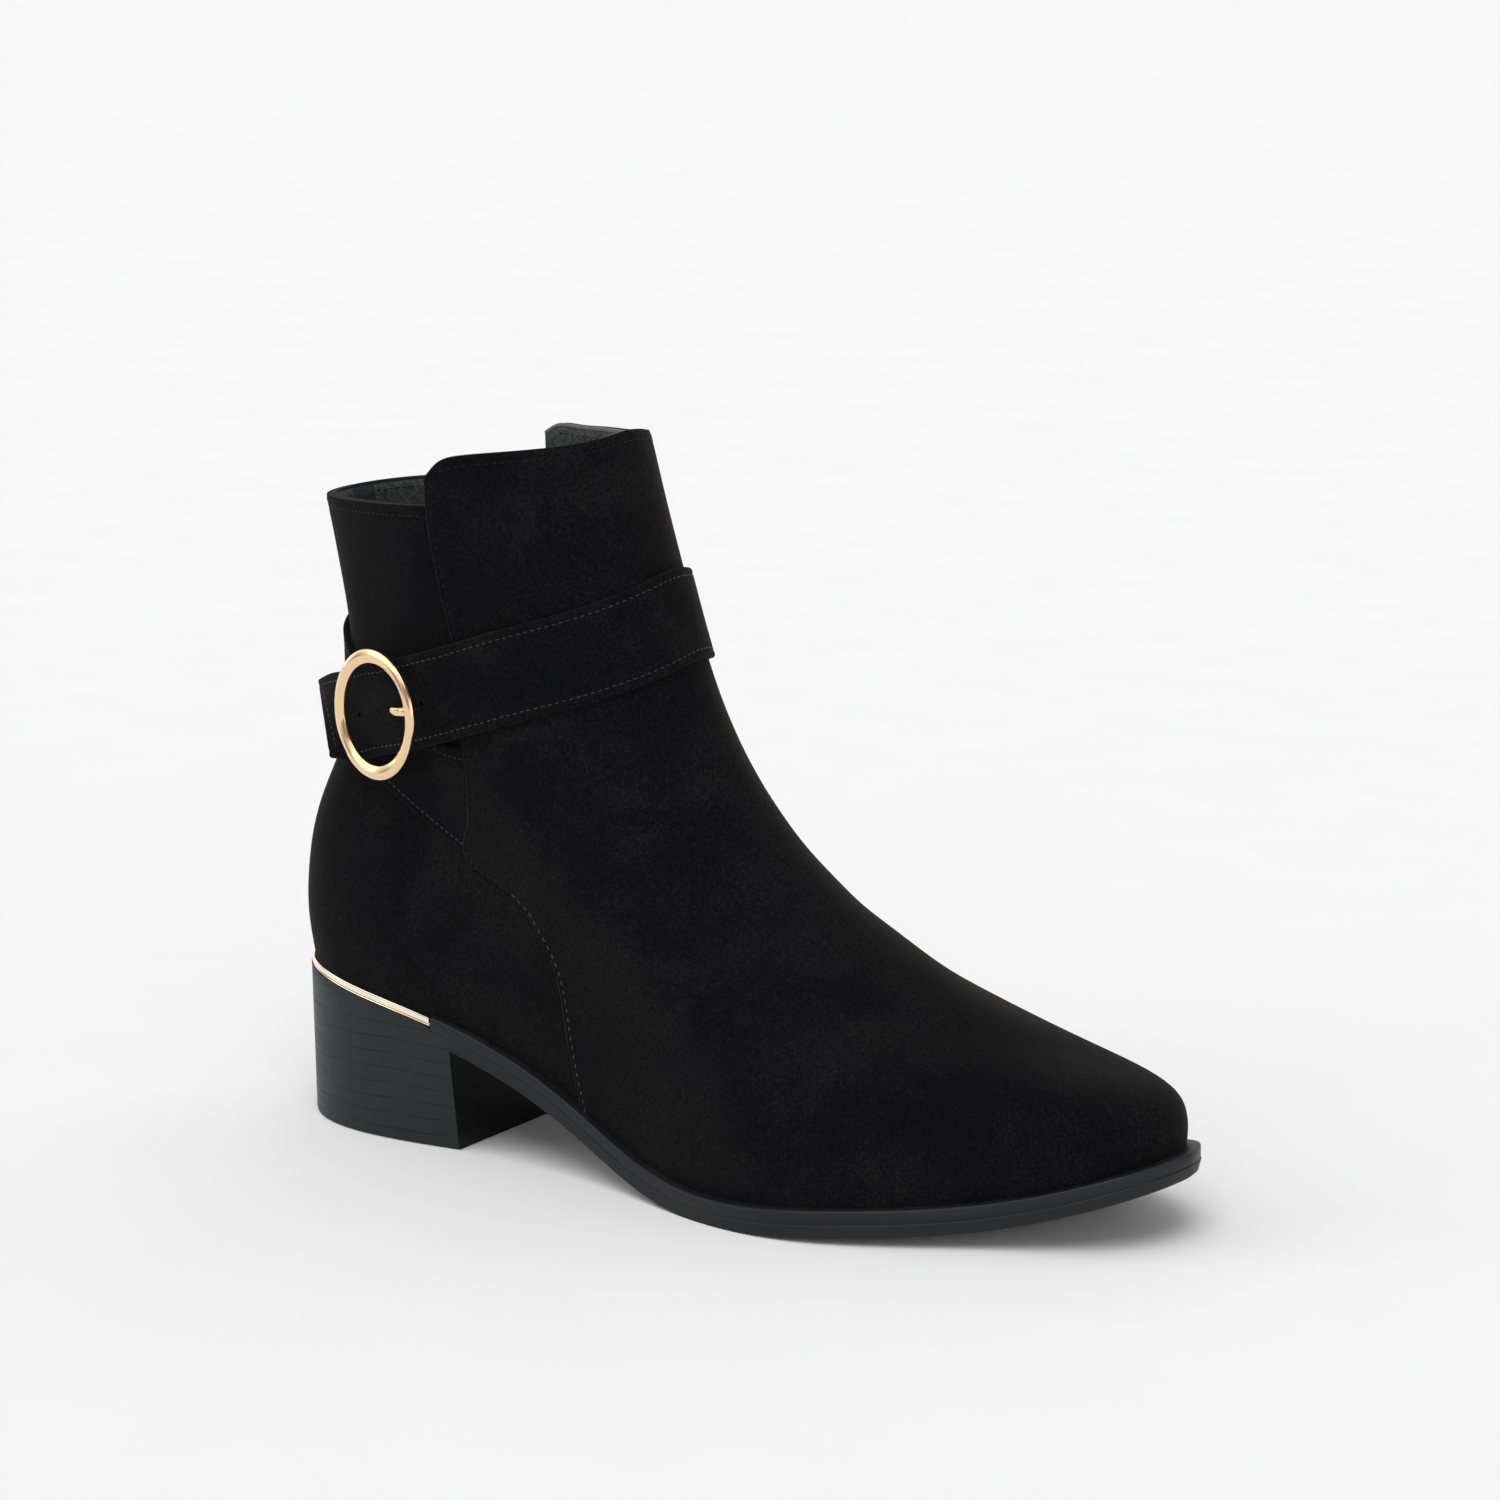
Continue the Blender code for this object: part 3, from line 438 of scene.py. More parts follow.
@dataclass
class Maker:
    """Makes meshes from points on the last."""

    last: BootLast
    merge: float = 0.001

    def metres(self, points: Array) -> Array:
        """Points of the last as the boot's own, in metres."""
        return (points + self.last.shift) * MM

    def grid(self, name: str, points: Array, closing: Closing = Closing.OPEN,
             crease: float = 40.0) -> Object:
        """Adds a grid primitive and lays it over a surface.

        Args:
            name: Name of the piece.
            points: Rows of points on the surface, in millimetres.
            closing: Open sheet, round and joined, or joined with its ends capped.
            crease: Angle in degrees above which an edge stays sharp.

        Returns:
            The new piece.
        """
        rows, columns = points.shape[:2]
        deselect()
        bpy.ops.mesh.primitive_grid_add(x_subdivisions=columns - 1, y_subdivisions=rows - 1,
                                        size=1.0)
        piece = bpy.context.object
        piece.name = piece.data.name = name
        piece.data.vertices.foreach_set("co", self.metres(points).astype(np.float32).ravel())
        piece.data.update()
        if closing is not Closing.OPEN:
            bpy.ops.object.mode_set(mode="EDIT")
            bpy.ops.mesh.select_all(action="SELECT")
            bpy.ops.mesh.remove_doubles(threshold=self.merge * MM)
            if closing is Closing.CAPPED:
                bpy.ops.mesh.fill_holes(sides=0)
            bpy.ops.mesh.select_all(action="SELECT")
            bpy.ops.mesh.normals_make_consistent(inside=False)
            bpy.ops.object.mode_set(mode="OBJECT")
        make_active(piece)
        bpy.ops.object.shade_smooth_by_angle(angle=math.radians(crease))
        return piece

    def stitches(self, name: str, lines: list[list[Array]], size: tuple) -> Object:
        """Models one stitch and copies it along lines.

        Args:
            name: Name of the piece.
            lines: For each line its points, directions and normals.
            size: Length, width and height of a stitch.

        Returns:
            The piece that holds all the stitches.
        """
        deselect()
        bpy.ops.mesh.primitive_uv_sphere_add(segments=8, ring_count=6, radius=0.5)
        piece = bpy.context.object
        bpy.ops.object.mode_set(mode="EDIT")
        bpy.ops.mesh.select_all(action="SELECT")
        bpy.ops.transform.rotate(value=math.pi / 2.0, orient_axis="Y",
                                 center_override=(0.0, 0.0, 0.0))
        bpy.ops.transform.resize(value=size)
        bpy.ops.object.mode_set(mode="OBJECT")
        model = np.array([vertex.co for vertex in piece.data.vertices])
        faces = [tuple(face.vertices) for face in piece.data.polygons]
        points, polygons = [], []
        for places, along, out in lines:
            across = unit(np.cross(out, along))
            rise = np.cross(along, across)
            for at, x, y, z in zip(places, along, across, rise):
                start = len(points) * len(model)
                points.append(at + model @ np.stack((x, y, z)))
                polygons += [tuple(index + start for index in face) for face in faces]
        piece.data.clear_geometry()
        piece.data.from_pydata(self.metres(np.concatenate(points)).tolist(), [], polygons)
        piece.name = piece.data.name = name
        make_active(piece)
        bpy.ops.object.shade_smooth()
        return piece


def hex_linear(code: str) -> tuple[float, float, float, float]:
    """Linear colour of an sRGB hex value."""
    shares = [int(code[i:i + 2], 16) / 255.0 for i in (1, 3, 5)]
    red, green, blue = [c / 12.92 if c <= 0.04045 else ((c + 0.055) / 1.055) ** 2.4 for c in shares]
    return red, green, blue, 1.0


def add_node(tree: NodeTree, kind: str, inputs: dict, **settings: object) -> Node:
    """Adds a node with its settings, values and links.

    Args:
        tree: Tree to add to.
        kind: Node type without the words that all shader nodes start with.
        inputs: Values or output sockets by the input's name or number.
        settings: Values of the node's own properties.

    Returns:
        The new node.
    """
    node = tree.nodes.new("ShaderNode" + kind)
    for name, value in settings.items():
        setattr(node, name, value)
    for name, value in inputs.items():
        if isinstance(value, NodeSocket):
            tree.links.new(value, node.inputs[name])
        else:
            node.inputs[name].default_value = value
    return node


class Pattern:
    """Node tree with the steps that the finishes and the studio's light share."""

    def __init__(self, tree: NodeTree, coordinates: str) -> None:
        """Keeps the tree and the coordinates that its patterns lie on."""
        self.tree = tree
        self.place = add_node(tree, "TexCoord", {}).outputs[coordinates]

    def noise(self, size_mm: float, **inputs: object) -> NodeSocket:
        """Noise with patches of about a size."""
        values = {"Vector": self.place, "Scale": 1.0 / (size_mm * MM), **inputs}
        return add_node(self.tree, "TexNoise", values).outputs["Fac"]

    def maths(self, operation: str, *values: object) -> NodeSocket:
        """Sum, product or the like of numbers and sockets."""
        return add_node(self.tree, "Math", dict(enumerate(values)), operation=operation).outputs[0]

    def remap(self, value: NodeSocket, source: tuple, target: tuple) -> NodeSocket:
        """Value brought from one range to another and held at its ends."""
        names = ("Value", "From Min", "From Max", "To Min", "To Max")
        node = add_node(self.tree, "MapRange", dict(zip(names, (value, *source, *target))))
        return node.outputs["Result"]

    def ramp(self, source: NodeSocket, stops: tuple) -> NodeSocket:
        """Colour ramp over a source; stops are places with hex values."""
        node = add_node(self.tree, "ValToRGB", {"Fac": source})
        points = node.color_ramp.elements
        while len(points) < len(stops):
            points.new(0.5)
        for point, (place, code) in zip(points, stops):
            point.position = place
            point.color = hex_linear(code)
        return node.outputs["Color"]

    def bump(self, height: NodeSocket, depth_mm: float, strength: float,
             **under: NodeSocket) -> NodeSocket:
        """Bent normals of a height, over an earlier bump where one is given as Normal."""
        values = {"Strength": strength, "Distance": depth_mm * MM, "Height": height, **under}
        return add_node(self.tree, "Bump", values).outputs["Normal"]


class Surface(Pattern):
    """New material whose patterns lead to its shader."""

    def __init__(self, name: str, **values: object) -> None:
        """Makes the material and sets its shader's constant values.

        Args:
            name: Name of the material.
            values: Values by the shader's socket names, with underscores for spaces.
        """
        self.material = bpy.data.materials.new(name)
        self.material.use_nodes = True
        super().__init__(self.material.node_tree, "Object")
        self.inputs = self.tree.nodes["Principled BSDF"].inputs
        for socket, value in values.items():
            self.inputs[socket.replace("_", " ")].default_value = value

    def link(self, **patterns: NodeSocket) -> Material:
        """Leads patterns to the shader's sockets and gives the finished material."""
        for socket, pattern in patterns.items():
            self.tree.links.new(pattern, self.inputs[socket.replace("_", " ")])
        return self.material


@dataclass(frozen=True)
class Finish:
    """Base of the finishes: real materials, each with the name of the material that it makes."""

    name: str

    def make(self) -> Material:
        """Makes the material, which each finish does in its own way."""
        raise NotImplementedError(self.name)


@dataclass(frozen=True)
class NappedSuede(Finish):
    """Faux suede, a brushed microfibre: soft patches where the nap lies either way, no gloss."""

    tones: tuple = ((0.34, "#070709"), (0.5, "#0f0f11"), (0.66, "#1c1c1d"))
    shade: str = "#07080d"
    sheen_tint: str = "#b9b0a8"
    patch_mm: float = 30.0
    # The real fibres are finer; grain and pile are drawn this coarse so that they show
    grain_mm: float = 0.8
    pile_mm: float = 0.2
    grain_share: float = 0.65
    stain_size: float = 1.0 / 0.55

    def make(self) -> Material:
        """Material with the nap's patches, grain, shaded spots and bump."""
        surface = Surface(self.name, Roughness=0.95, Specular_IOR_Level=0.05, Sheen_Weight=0.1,
                          Sheen_Roughness=0.4, Sheen_Tint=hex_linear(self.sheen_tint))
        patches = surface.noise(self.patch_mm, Detail=5.0, Roughness=0.62, Distortion=0.6)
        grain = surface.noise(self.grain_mm, Detail=3.0, Roughness=0.7)
        mixed = add_node(surface.tree, "Mix", {"Factor": self.grain_share, 2: patches, 3: grain})
        nap = surface.ramp(mixed.outputs[0], self.tones)
        stains = surface.noise(self.patch_mm * self.stain_size, Detail=3.0, Distortion=1.0)
        reach = surface.remap(stains, (0.5, 0.7), (0.0, 0.5))
        colour = add_node(surface.tree, "Mix", {"Factor": reach, 6: nap, 7: hex_linear(self.shade)},
                          data_type="RGBA")
        return surface.link(Base_Color=colour.outputs[2],
                            Normal=surface.bump(grain, self.pile_mm, 0.8))


@dataclass(frozen=True)
class PebbledLining(Finish):
    """Coated synthetic lining: small round pebbles with dull grey tops."""

    pebble_mm: float = 1.1
    depth_mm: float = 0.25
    tones: tuple = ((0.0, "#1c1d1e"), (0.45, "#333435"), (1.0, "#454647"))

    def make(self) -> Material:
        """Material with pebbles in colour and bump."""
        surface = Surface(self.name, Roughness=0.7, Specular_IOR_Level=0.3)
        cells = add_node(surface.tree, "TexVoronoi", {"Vector": surface.place,
                                                      "Scale": 1.0 / (self.pebble_mm * MM)})
        top = surface.maths("SUBTRACT", 1.0, cells.outputs["Distance"])
        return surface.link(Base_Color=surface.ramp(top, self.tones),
                            Normal=surface.bump(top, self.depth_mm, 0.6))


@dataclass(frozen=True)
class WovenCloth(Finish):
    """Plain woven cloth: crossing threads of one colour, matt."""

    # Real threads are about half as wide; they are drawn coarser so that the weave shows
    thread_mm: float = 0.8
    depth_mm: float = 0.2
    tones: tuple = ((0.2, "#1b1c1e"), (0.8, "#2b2c2e"))
    # Length of one wave of the wave texture at scale 1
    wave_length: float = 0.314

    def make(self) -> Material:
        """Material with threads both ways."""
        surface = Surface(self.name, Roughness=0.9, Specular_IOR_Level=0.2)
        values = {"Vector": surface.place, "Scale": self.wave_length / (self.thread_mm * MM),
                  "Distortion": 0.4}
        waves = [add_node(surface.tree, "TexWave", values, bands_direction=axis).outputs["Fac"]
                 for axis in ("X", "Y")]
        weave = surface.maths("MULTIPLY", *waves)
        return surface.link(Base_Color=surface.ramp(weave, self.tones),
                            Normal=surface.bump(weave, self.depth_mm, 0.4))


@dataclass(frozen=True)
class MouldedRubber(Finish):
    """Thermoplastic rubber out of a mould: satin, with faint cloudy roughness and a fine grit."""

    tones: tuple = ((0.3, "#0e0f11"), (0.7, "#15161a"))
    cloud_mm: float = 14.0
    grit_mm: float = 0.5
    depth_mm: float = 0.05
    roughness: tuple = (0.42, 0.56)

    def make(self) -> Material:
        """Material with clouds in tone and gloss."""
        surface = Surface(self.name, Specular_IOR_Level=0.34)
        clouds = surface.noise(self.cloud_mm, Detail=4.0)
        grit = surface.noise(self.grit_mm, Detail=2.0)
        return surface.link(Base_Color=surface.ramp(clouds, self.tones),
                            Roughness=surface.remap(clouds, NOISE, self.roughness),
                            Normal=surface.bump(grit, self.depth_mm, 0.15))


@dataclass(frozen=True)
class StackedHeel(Finish):
    """Lacquered stacked board: satin, thin dark lines between layers and a faint long grain."""

    layer_mm: float = 4.1
    # The real line is a hair; it is drawn this wide so that it shows
    line_mm: float = 0.34
    line_depth_mm: float = 0.1
    mark_depth_mm: float = 0.08
    sway_mm: tuple = (25.0, 2.0)
    face: str = "#25272a"
    line: str = "#121315"
    wear_mm: float = 11.0
    # Grains to the metre along, across and up the heel
    grain: tuple = (60.0, 60.0, 1600.0)
    roughness: tuple = (0.36, 0.5)
    gloss: float = 0.16

    def make(self) -> Material:
        """Material with the layers' lines across the height."""
        surface = Surface(self.name, Specular_IOR_Level=self.gloss)
        length, swing = self.sway_mm
        sway = surface.noise(length, Detail=1.0)
        height = add_node(surface.tree, "SeparateXYZ", {"Vector": surface.place}).outputs["Z"]
        lean = surface.maths("MULTIPLY_ADD", sway, swing * MM, height)
        layer = surface.maths("FRACT", surface.maths("MULTIPLY", lean, 1.0 / (self.layer_mm * MM)))
        share = self.line_mm / self.layer_mm
        lines = surface.ramp(layer, ((0.0, "#000000"), (share * 0.6, "#000000"), (share, "#ffffff"),
                                     (0.98, "#ffffff")))
        wear = surface.remap(surface.noise(self.wear_mm, Detail=2.0), (0.45, 0.65), (0.0, 0.8))
        groove = surface.maths("MAXIMUM", lines, wear)
        stretch = add_node(surface.tree, "Mapping", {"Vector": surface.place, "Scale": self.grain})
        values = {"Vector": stretch.outputs["Vector"], "Scale": 1.0, "Detail": 3.0}
        grain = add_node(surface.tree, "TexNoise", values).outputs["Fac"]
        marks = surface.bump(grain, self.mark_depth_mm, 0.12)
        return surface.link(Base_Color=surface.ramp(groove, ((0.0, self.line), (1.0, self.face))),
                            Roughness=surface.remap(grain, NOISE, self.roughness),
                            Normal=surface.bump(groove, self.line_depth_mm, 0.4, Normal=marks))


@dataclass(frozen=True)
class PolishedGold(Finish):
    """Gold plate on polished brass: pale, bright, with fine polishing marks."""

    colour: str = "#f0d0a4"
    # Real marks are hair-fine; they are drawn this wide so that they show
    mark_mm: float = 0.5
    roughness: tuple = (0.05, 0.1)

    def make(self) -> Material:
        """Metal with a slight change of gloss."""
        surface = Surface(self.name, Base_Color=hex_linear(self.colour), Metallic=1.0)
        marks = surface.noise(self.mark_mm, Detail=3.0)
        return surface.link(Roughness=surface.remap(marks, NOISE, self.roughness))


@dataclass(frozen=True)
class SewingThread(Finish):
    """Twisted polyester thread: a dull sheen and a tone that changes from stitch to stitch."""

    tones: tuple = ((0.3, "#070708"), (0.7, "#161718"))
    # The real twist is finer; it is drawn as long as a stitch so that it shows
    twist_mm: float = 0.9
    gloss: float = 0.4
    sheen: float = 0.2

    def make(self) -> Material:
        """Material with a tone that changes along the seam."""
        surface = Surface(self.name, Roughness=0.6, Specular_IOR_Level=self.gloss,
                          Sheen_Weight=self.sheen)
        twist = surface.noise(self.twist_mm, Detail=2.0)
        return surface.link(Base_Color=surface.ramp(twist, self.tones))


@dataclass(frozen=True)
class StudioPaper(Finish):
    """Matt white paper roll under the boot, with faint clouds of fibre."""

    tones: tuple = ((0.3, "#f6f6f6"), (0.7, "#f7f7f7"))
    fibre_mm: float = 40.0

    def make(self) -> Material:
        """Matt paper with a slight change of tone."""
        surface = Surface(self.name, Roughness=1.0, Specular_IOR_Level=0.0)
        fibre = surface.noise(self.fibre_mm, Detail=2.0)
        return surface.link(Base_Color=surface.ramp(fibre, self.tones))


class Wardrobe:
    """All the boot's materials, made once."""

    def __init__(self) -> None:
        """Makes each material."""
        # Deep matt black with soft lighter patches, most of what the eye sees
        self.suede = NappedSuede("black_faux_suede").make()
        # The same black with smaller patches, so that the strap reads as a piece of its own
        self.strap_suede = NappedSuede("black_strap_suede", patch_mm=18.0).make()
        # Pale raw line that draws the top of the front panel
        self.cut_edge = NappedSuede("suede_cut_edge", tones=((0.3, "#55565a"), (0.7, "#7c7d80")),
                                    shade="#55565a").make()
        # Dark soft line that closes the top of the back part
        self.folded_edge = NappedSuede("suede_folded_edge", shade="#1d1e20",
                                       tones=((0.3, "#1d1e20"), (0.7, "#2e2f31"))).make()
        # Grey grain that sets the inside off from the black outside
        self.lining = PebbledLining("pebbled_lining").make()
        # Smoother, bluish band down the back of the inside
        self.tape = WovenCloth("back_tape_cloth", thread_mm=0.6,
                               tones=((0.2, "#25282b"), (0.8, "#3b3f44"))).make()
        # Dark matt floor deep in the boot
        self.sock = WovenCloth("insole_cloth").make()
        # Thin satin line under the upper
        self.welt = MouldedRubber("satin_welt_rubber").make()
        # Duller edge and underside of the sole
        self.sole = MouldedRubber("matt_sole_rubber", roughness=(0.5, 0.66)).make()
        # Grey-black heel with hair lines, lighter than the suede
        self.heel = StackedHeel("lacquered_heel").make()
        # Painted shade: a near-black copy of the heel's lacquer for the heel's front, which faces
        # away from the lamps
        self.breast = StackedHeel("heel_breast_painted_shade", face="#0a0b0e", line="#060708",
                                  gloss=0.14).make()
        # Warm mirror of the ring, bar and prong, the brightest accent
        self.gold = PolishedGold("polished_rose_gold").make()
        # Paler, almost white line round the heel
        self.pale_gold = PolishedGold("polished_pale_gold", colour="#fdf3dc").make()
        # Strap's stitches, a little lighter than the suede
        self.dark_thread = SewingThread("dark_thread").make()
        # Collar's and upper panel's stitches, which hardly show
        self.black_thread = SewingThread("black_thread", tones=((0.3, "#030304"), (0.7, "#0e0f10")),
                                         gloss=0.15, sheen=0.05).make()
        # Painted highlight: a paler copy of the panel's thread for its stitches low on the panel,
        # where they catch the light
        self.thread_painted_highlight = SewingThread("thread_painted_highlight",
                                        tones=((0.3, "#17181a"), (0.7, "#3e3f41"))).make()


def dress(piece: Object, materials: list, replaced: tuple = ()) -> None:
    """Gives a piece its materials and its body, hides the solids that it stands for, and reports
    it.

    Args:
        piece: Finished piece.
        materials: Materials by their index on the faces.
        replaced: Solids that the piece stands for.
    """
    for material in materials:
        piece.data.materials.append(material)
    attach(piece, BODY)
    if replaced:
        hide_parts(*replaced)
    LOG.info("%s: %d faces", piece.name, len(piece.data.polygons))


@dataclass
class Panel:
    """Part of the upper as lines up the last: levels, angles and the depth of its outer face."""

    levels: Array
    angles: Array
    depth: Array


@dataclass
class Upper:
    """Front panel, back part, their linings, rims and seams."""

    last: BootLast
    maker: Maker
    wardrobe: Wardrobe
    # Lines and rows of the grids, the front's counted from an edge to the toe
    outer_front: tuple = (100, 150)
    outer_back: tuple = (150, 110)
    inner_front: tuple = (50, 80)
    inner_back: tuple = (90, 60)
    front_thick: float = 1.3
    back_thick: float = 0.8
    lining_depth: float = 2.9
    # The lining ends this share of the way up
    lining_top: float = 0.996
    tuck: float = 0.012
    collar_level: float = 0.915
    lap: float = 7.0
    # Share of even spacing of the panel's lines; the rest crowds them at its edges
    even: float = 0.22
    seam_inset: float = 2.0
    collar_inset: float = 2.8
    panel_stitch: tuple = (1.2, 0.36, 0.34)
    panel_pitch: float = 2.4
    collar_stitch: tuple = (1.25, 0.34, 0.32)
    collar_pitch: float = 2.0
    # Height under which the panel's stitches take the paler copy of the thread, a painted highlight
    painted_highlight_below: float = 72.0
    # Reach and depth of the rolled edge, width and depth of the dip under a seam
    edge_roll: tuple = (0.8, 0.3)
    dip: tuple = (0.5, 0.14)
    # Thickness of the front and the back lining
    lining_thick: tuple = (0.5, 0.3)
    # How far the rims reach into the suede and the lining
    rim_lap: tuple = (0.1, 0.08)
    # Lines of the front and the back at each end that have no collar stitches
    collar_ends: tuple = (14, 5)
    # How far the tape stands in from the lining, and how much less at its edges
    tape_stand: tuple = (0.35, 0.25)
    tape_angle: float = 6.5
    tape_levels: tuple = (0.35, 0.909)
    tape_thick: float = 0.5

    def front(self, half: int, rows: int) -> Panel:
        """Lines of the front panel from its lateral edge over the toe to its medial edge.

        Args:
            half: Number of lines from an edge to the front.
            rows: Number of rows up each line.

        Returns:
            The panel.
        """
        t = np.linspace(0.0, 1.0, half)
        share = self.even * t + (1.0 - self.even) * t * t
        up = np.linspace(0.0, 1.0, rows)[:, None]
        levels, angles = [], []
        for side in Side:

            def angle_of(level: Array, side: Side = side) -> Array:
                """Angles of the lines at levels."""
                seam = self.last.seams[side](level)
                angle = seam + (math.pi - seam) * share
                return angle if side is Side.LATERAL else TAU - angle

            heights = Cubic(column(TOP, 0), column(TOP, 1 + side.value))(share)
            levels.append(-self.tuck + (self.last.level_at(angle_of, heights) + self.tuck) * up)
            angles.append(angle_of(levels[-1]))
        levels, angles = [np.concatenate((lateral, medial[:, -2::-1]), 1)
                          for lateral, medial in (levels, angles)]
        return Panel(levels, angles, np.zeros_like(levels))

    def back(self, columns: int, rows: int) -> Panel:
        """Lines of the back part, whose sides run on under the front panel's edges."""
        levels = np.linspace(-self.tuck, self.collar_level, rows)[:, None]
        low = -self.last.seams[Side.MEDIAL](levels) - math.radians(self.lap)
        high = self.last.seams[Side.LATERAL](levels) + math.radians(self.lap)
        angles = low + (high - low) * np.linspace(0.0, 1.0, columns)[None]
        levels = np.broadcast_to(levels, angles.shape).copy()
        return Panel(levels, angles, self.last.step_depth(levels, angles))

    def inside(self, panel: Panel, top: float = 1.0) -> Panel:
        """Inner face of a panel, with its levels drawn down to a share."""
        depth = np.full_like(panel.levels, -self.lining_depth)
        return Panel(panel.levels * top, panel.angles, depth)

    def shape(self, panel: Panel, extra: Array | float = 0.0) -> tuple[Array, Array]:
        """Points and normals of a panel's outer face, moved out by an extra distance."""
        normals = self.last.normal(panel.levels, panel.angles)
        points = self.last.point(panel.levels, panel.angles)
        return points + normals * (panel.depth + extra)[..., None], normals

    def dented(self, panel: Panel, seams: bool) -> tuple[Array, Array]:
        """Outer face with rolled edges and sunk seam lines.

        Args:
            panel: Panel to shape.
            seams: True where the panel's sides are edges with a seam, as on the front panel.

        Returns:
            Points and normals.
        """
        points, _ = self.shape(panel)
        edges = [(arc_lengths(points[::-1], 0)[::-1], self.collar_inset)]
        if seams:
            edges += [(arc_lengths(points, 1), self.seam_inset),
                      (arc_lengths(points[:, ::-1], 1)[:, ::-1], self.seam_inset)]
        width, depth = self.dip
        reach, roll = self.edge_roll
        extra = -sum(depth * np.exp(-((away - inset) / width) ** 2) for away, inset in edges)
        nearest = np.minimum.reduce([away for away, _ in edges])
        extra = extra - roll * np.clip(1.0 - nearest / reach, 0.0, 1.0) ** 2
        return self.shape(panel, extra + self.hollows(points))

    def hollows(self, points: Array) -> Array:
        """Soft troughs with low ridges beside them, at the places listed."""
        ridge = 0.7
        extra = np.zeros(points.shape[:-1])
        for level, degrees, length, width, depth, turn in HOLLOWS:
            angle, turn = math.radians(degrees), math.radians(turn)
            away = points - self.last.point(level, angle)
            by_level, by_angle = [unit(slope) for slope in self.last.slopes(level, angle)]
            along = by_angle * math.cos(turn) + by_level * math.sin(turn)
            across = np.cross(self.last.normal(level, angle), along)
            u, v = (away @ along) / length, (away @ across) / width
            extra -= depth * (1.0 - ridge * v * v) * np.exp(-u * u - v * v)
        return extra

    def outer_layer(self, name: str, panel: Panel, thick: float, seams: bool) -> None:
        """Suede layer with its thickness."""
        piece = self.maker.grid(name, self.dented(panel, seams)[0], crease=60.0)
        thicken(piece, thick)
        dress(piece, [self.wardrobe.suede], ("upper",))

    def lining(self, name: str, panel: Panel, thick: float) -> None:
        """Lining on the inside of a panel."""
        points, _ = self.shape(self.inside(panel, self.lining_top))
        piece = self.maker.grid(name, points[:, ::-1], crease=60.0)
        thicken(piece, thick)
        dress(piece, [self.wardrobe.lining])

    def rim(self, name: str, panel: Panel, thick: float, material: Material) -> None:
        """Edge between a panel and its lining along the collar."""
        level, angle = panel.levels[-1], panel.angles[-1]
        point, out = self.last.point(level, angle), self.last.normal(level, angle)
        rise = unit(self.last.slopes(level, angle)[0])
        lap_out, lap_in = self.rim_lap
        outer = panel.depth[-1] - thick + lap_out
        faces = {"outer": outer, "inner": np.full_like(outer, -self.lining_depth - lap_in)}
        sections = [point + out * (faces[face] + away)[:, None] + rise * up
                    for face, away, up in RIM]
        piece = self.maker.grid(name, np.stack(sections, 1), Closing.CAPPED)
        dress(piece, [material])

    def tape(self) -> None:
        """Woven tape over the back seam on the inside, with its edges pressed flat."""
        across, up = np.linspace(-1.0, 1.0, 9), np.linspace(0.0, 1.0, 60)
        foot, head = self.tape_levels
        turn, (stand, press) = math.radians(self.tape_angle) * across, self.tape_stand
        angles, levels = np.meshgrid(turn, foot + (head - foot) * up)
        depth = -self.lining_depth - stand + press * np.broadcast_to(across, levels.shape) ** 6
        points, _ = self.shape(Panel(levels, angles, depth))
        piece = self.maker.grid("back_tape", points[:, ::-1])
        thicken(piece, self.tape_thick)
        dress(piece, [self.wardrobe.tape])

    def line_inside(self, points: Array, normals: Array, inset: float) -> tuple[Array, Array]:
        """Line at a distance from the first column of a surface, with its normals."""
        away = arc_lengths(points, 1)
        line, out = [np.stack([read_line(inset, *row) for row in zip(away, values)])
                     for values in (points, normals)]
        return line, unit(out)

    def seams(self, front: Panel, back: Panel) -> None:
        """Stitches along the front panel's edges and the collar."""
        points, normals = self.dented(front, True)
        lines = []
        for order in (slice(None), slice(None, None, -1)):
            line, out = self.line_inside(points[:, order], normals[:, order], self.seam_inset)
            lines.append(resample(line, self.panel_pitch, out))
        piece = self.maker.stitches("panel_stitches", lines, self.panel_stitch)
        # Painted highlight: stitches below a height take the paler copy of the thread, those above
        # take the black
        for face in piece.data.polygons:
            face.material_index = int(face.center.z > self.painted_highlight_below * MM)
        dress(piece, [self.wardrobe.thread_painted_highlight, self.wardrobe.black_thread])
        lines = []
        for panel, edged, ends in zip((front, back), (True, False), self.collar_ends):
            for faces in (self.dented(panel, edged), self.shape(self.inside(panel))):
                columns = [np.swapaxes(values[::-1], 0, 1) for values in faces]
                line, out = self.line_inside(*columns, self.collar_inset)
                lines.append(resample(line[ends:-ends], self.collar_pitch, out[ends:-ends]))
        piece = self.maker.stitches("collar_stitches", lines, self.collar_stitch)
        dress(piece, [self.wardrobe.black_thread])

    def build(self) -> None:
        """Makes all the pieces of the upper."""
        front, back = self.front(*self.outer_front), self.back(*self.outer_back)
        self.outer_layer("front_panel", front, self.front_thick, True)
        self.outer_layer("back_part", back, self.back_thick, False)
        inner_front, inner_back = self.front(*self.inner_front), self.back(*self.inner_back)
        self.lining("front_lining", inner_front, self.lining_thick[0])
        self.lining("back_lining", inner_back, self.lining_thick[1])
        self.rim("front_rim", inner_front, self.front_thick, self.wardrobe.cut_edge)
        self.rim("back_rim", inner_back, self.back_thick, self.wardrobe.folded_edge)
        self.tape()
        self.seams(front, back)


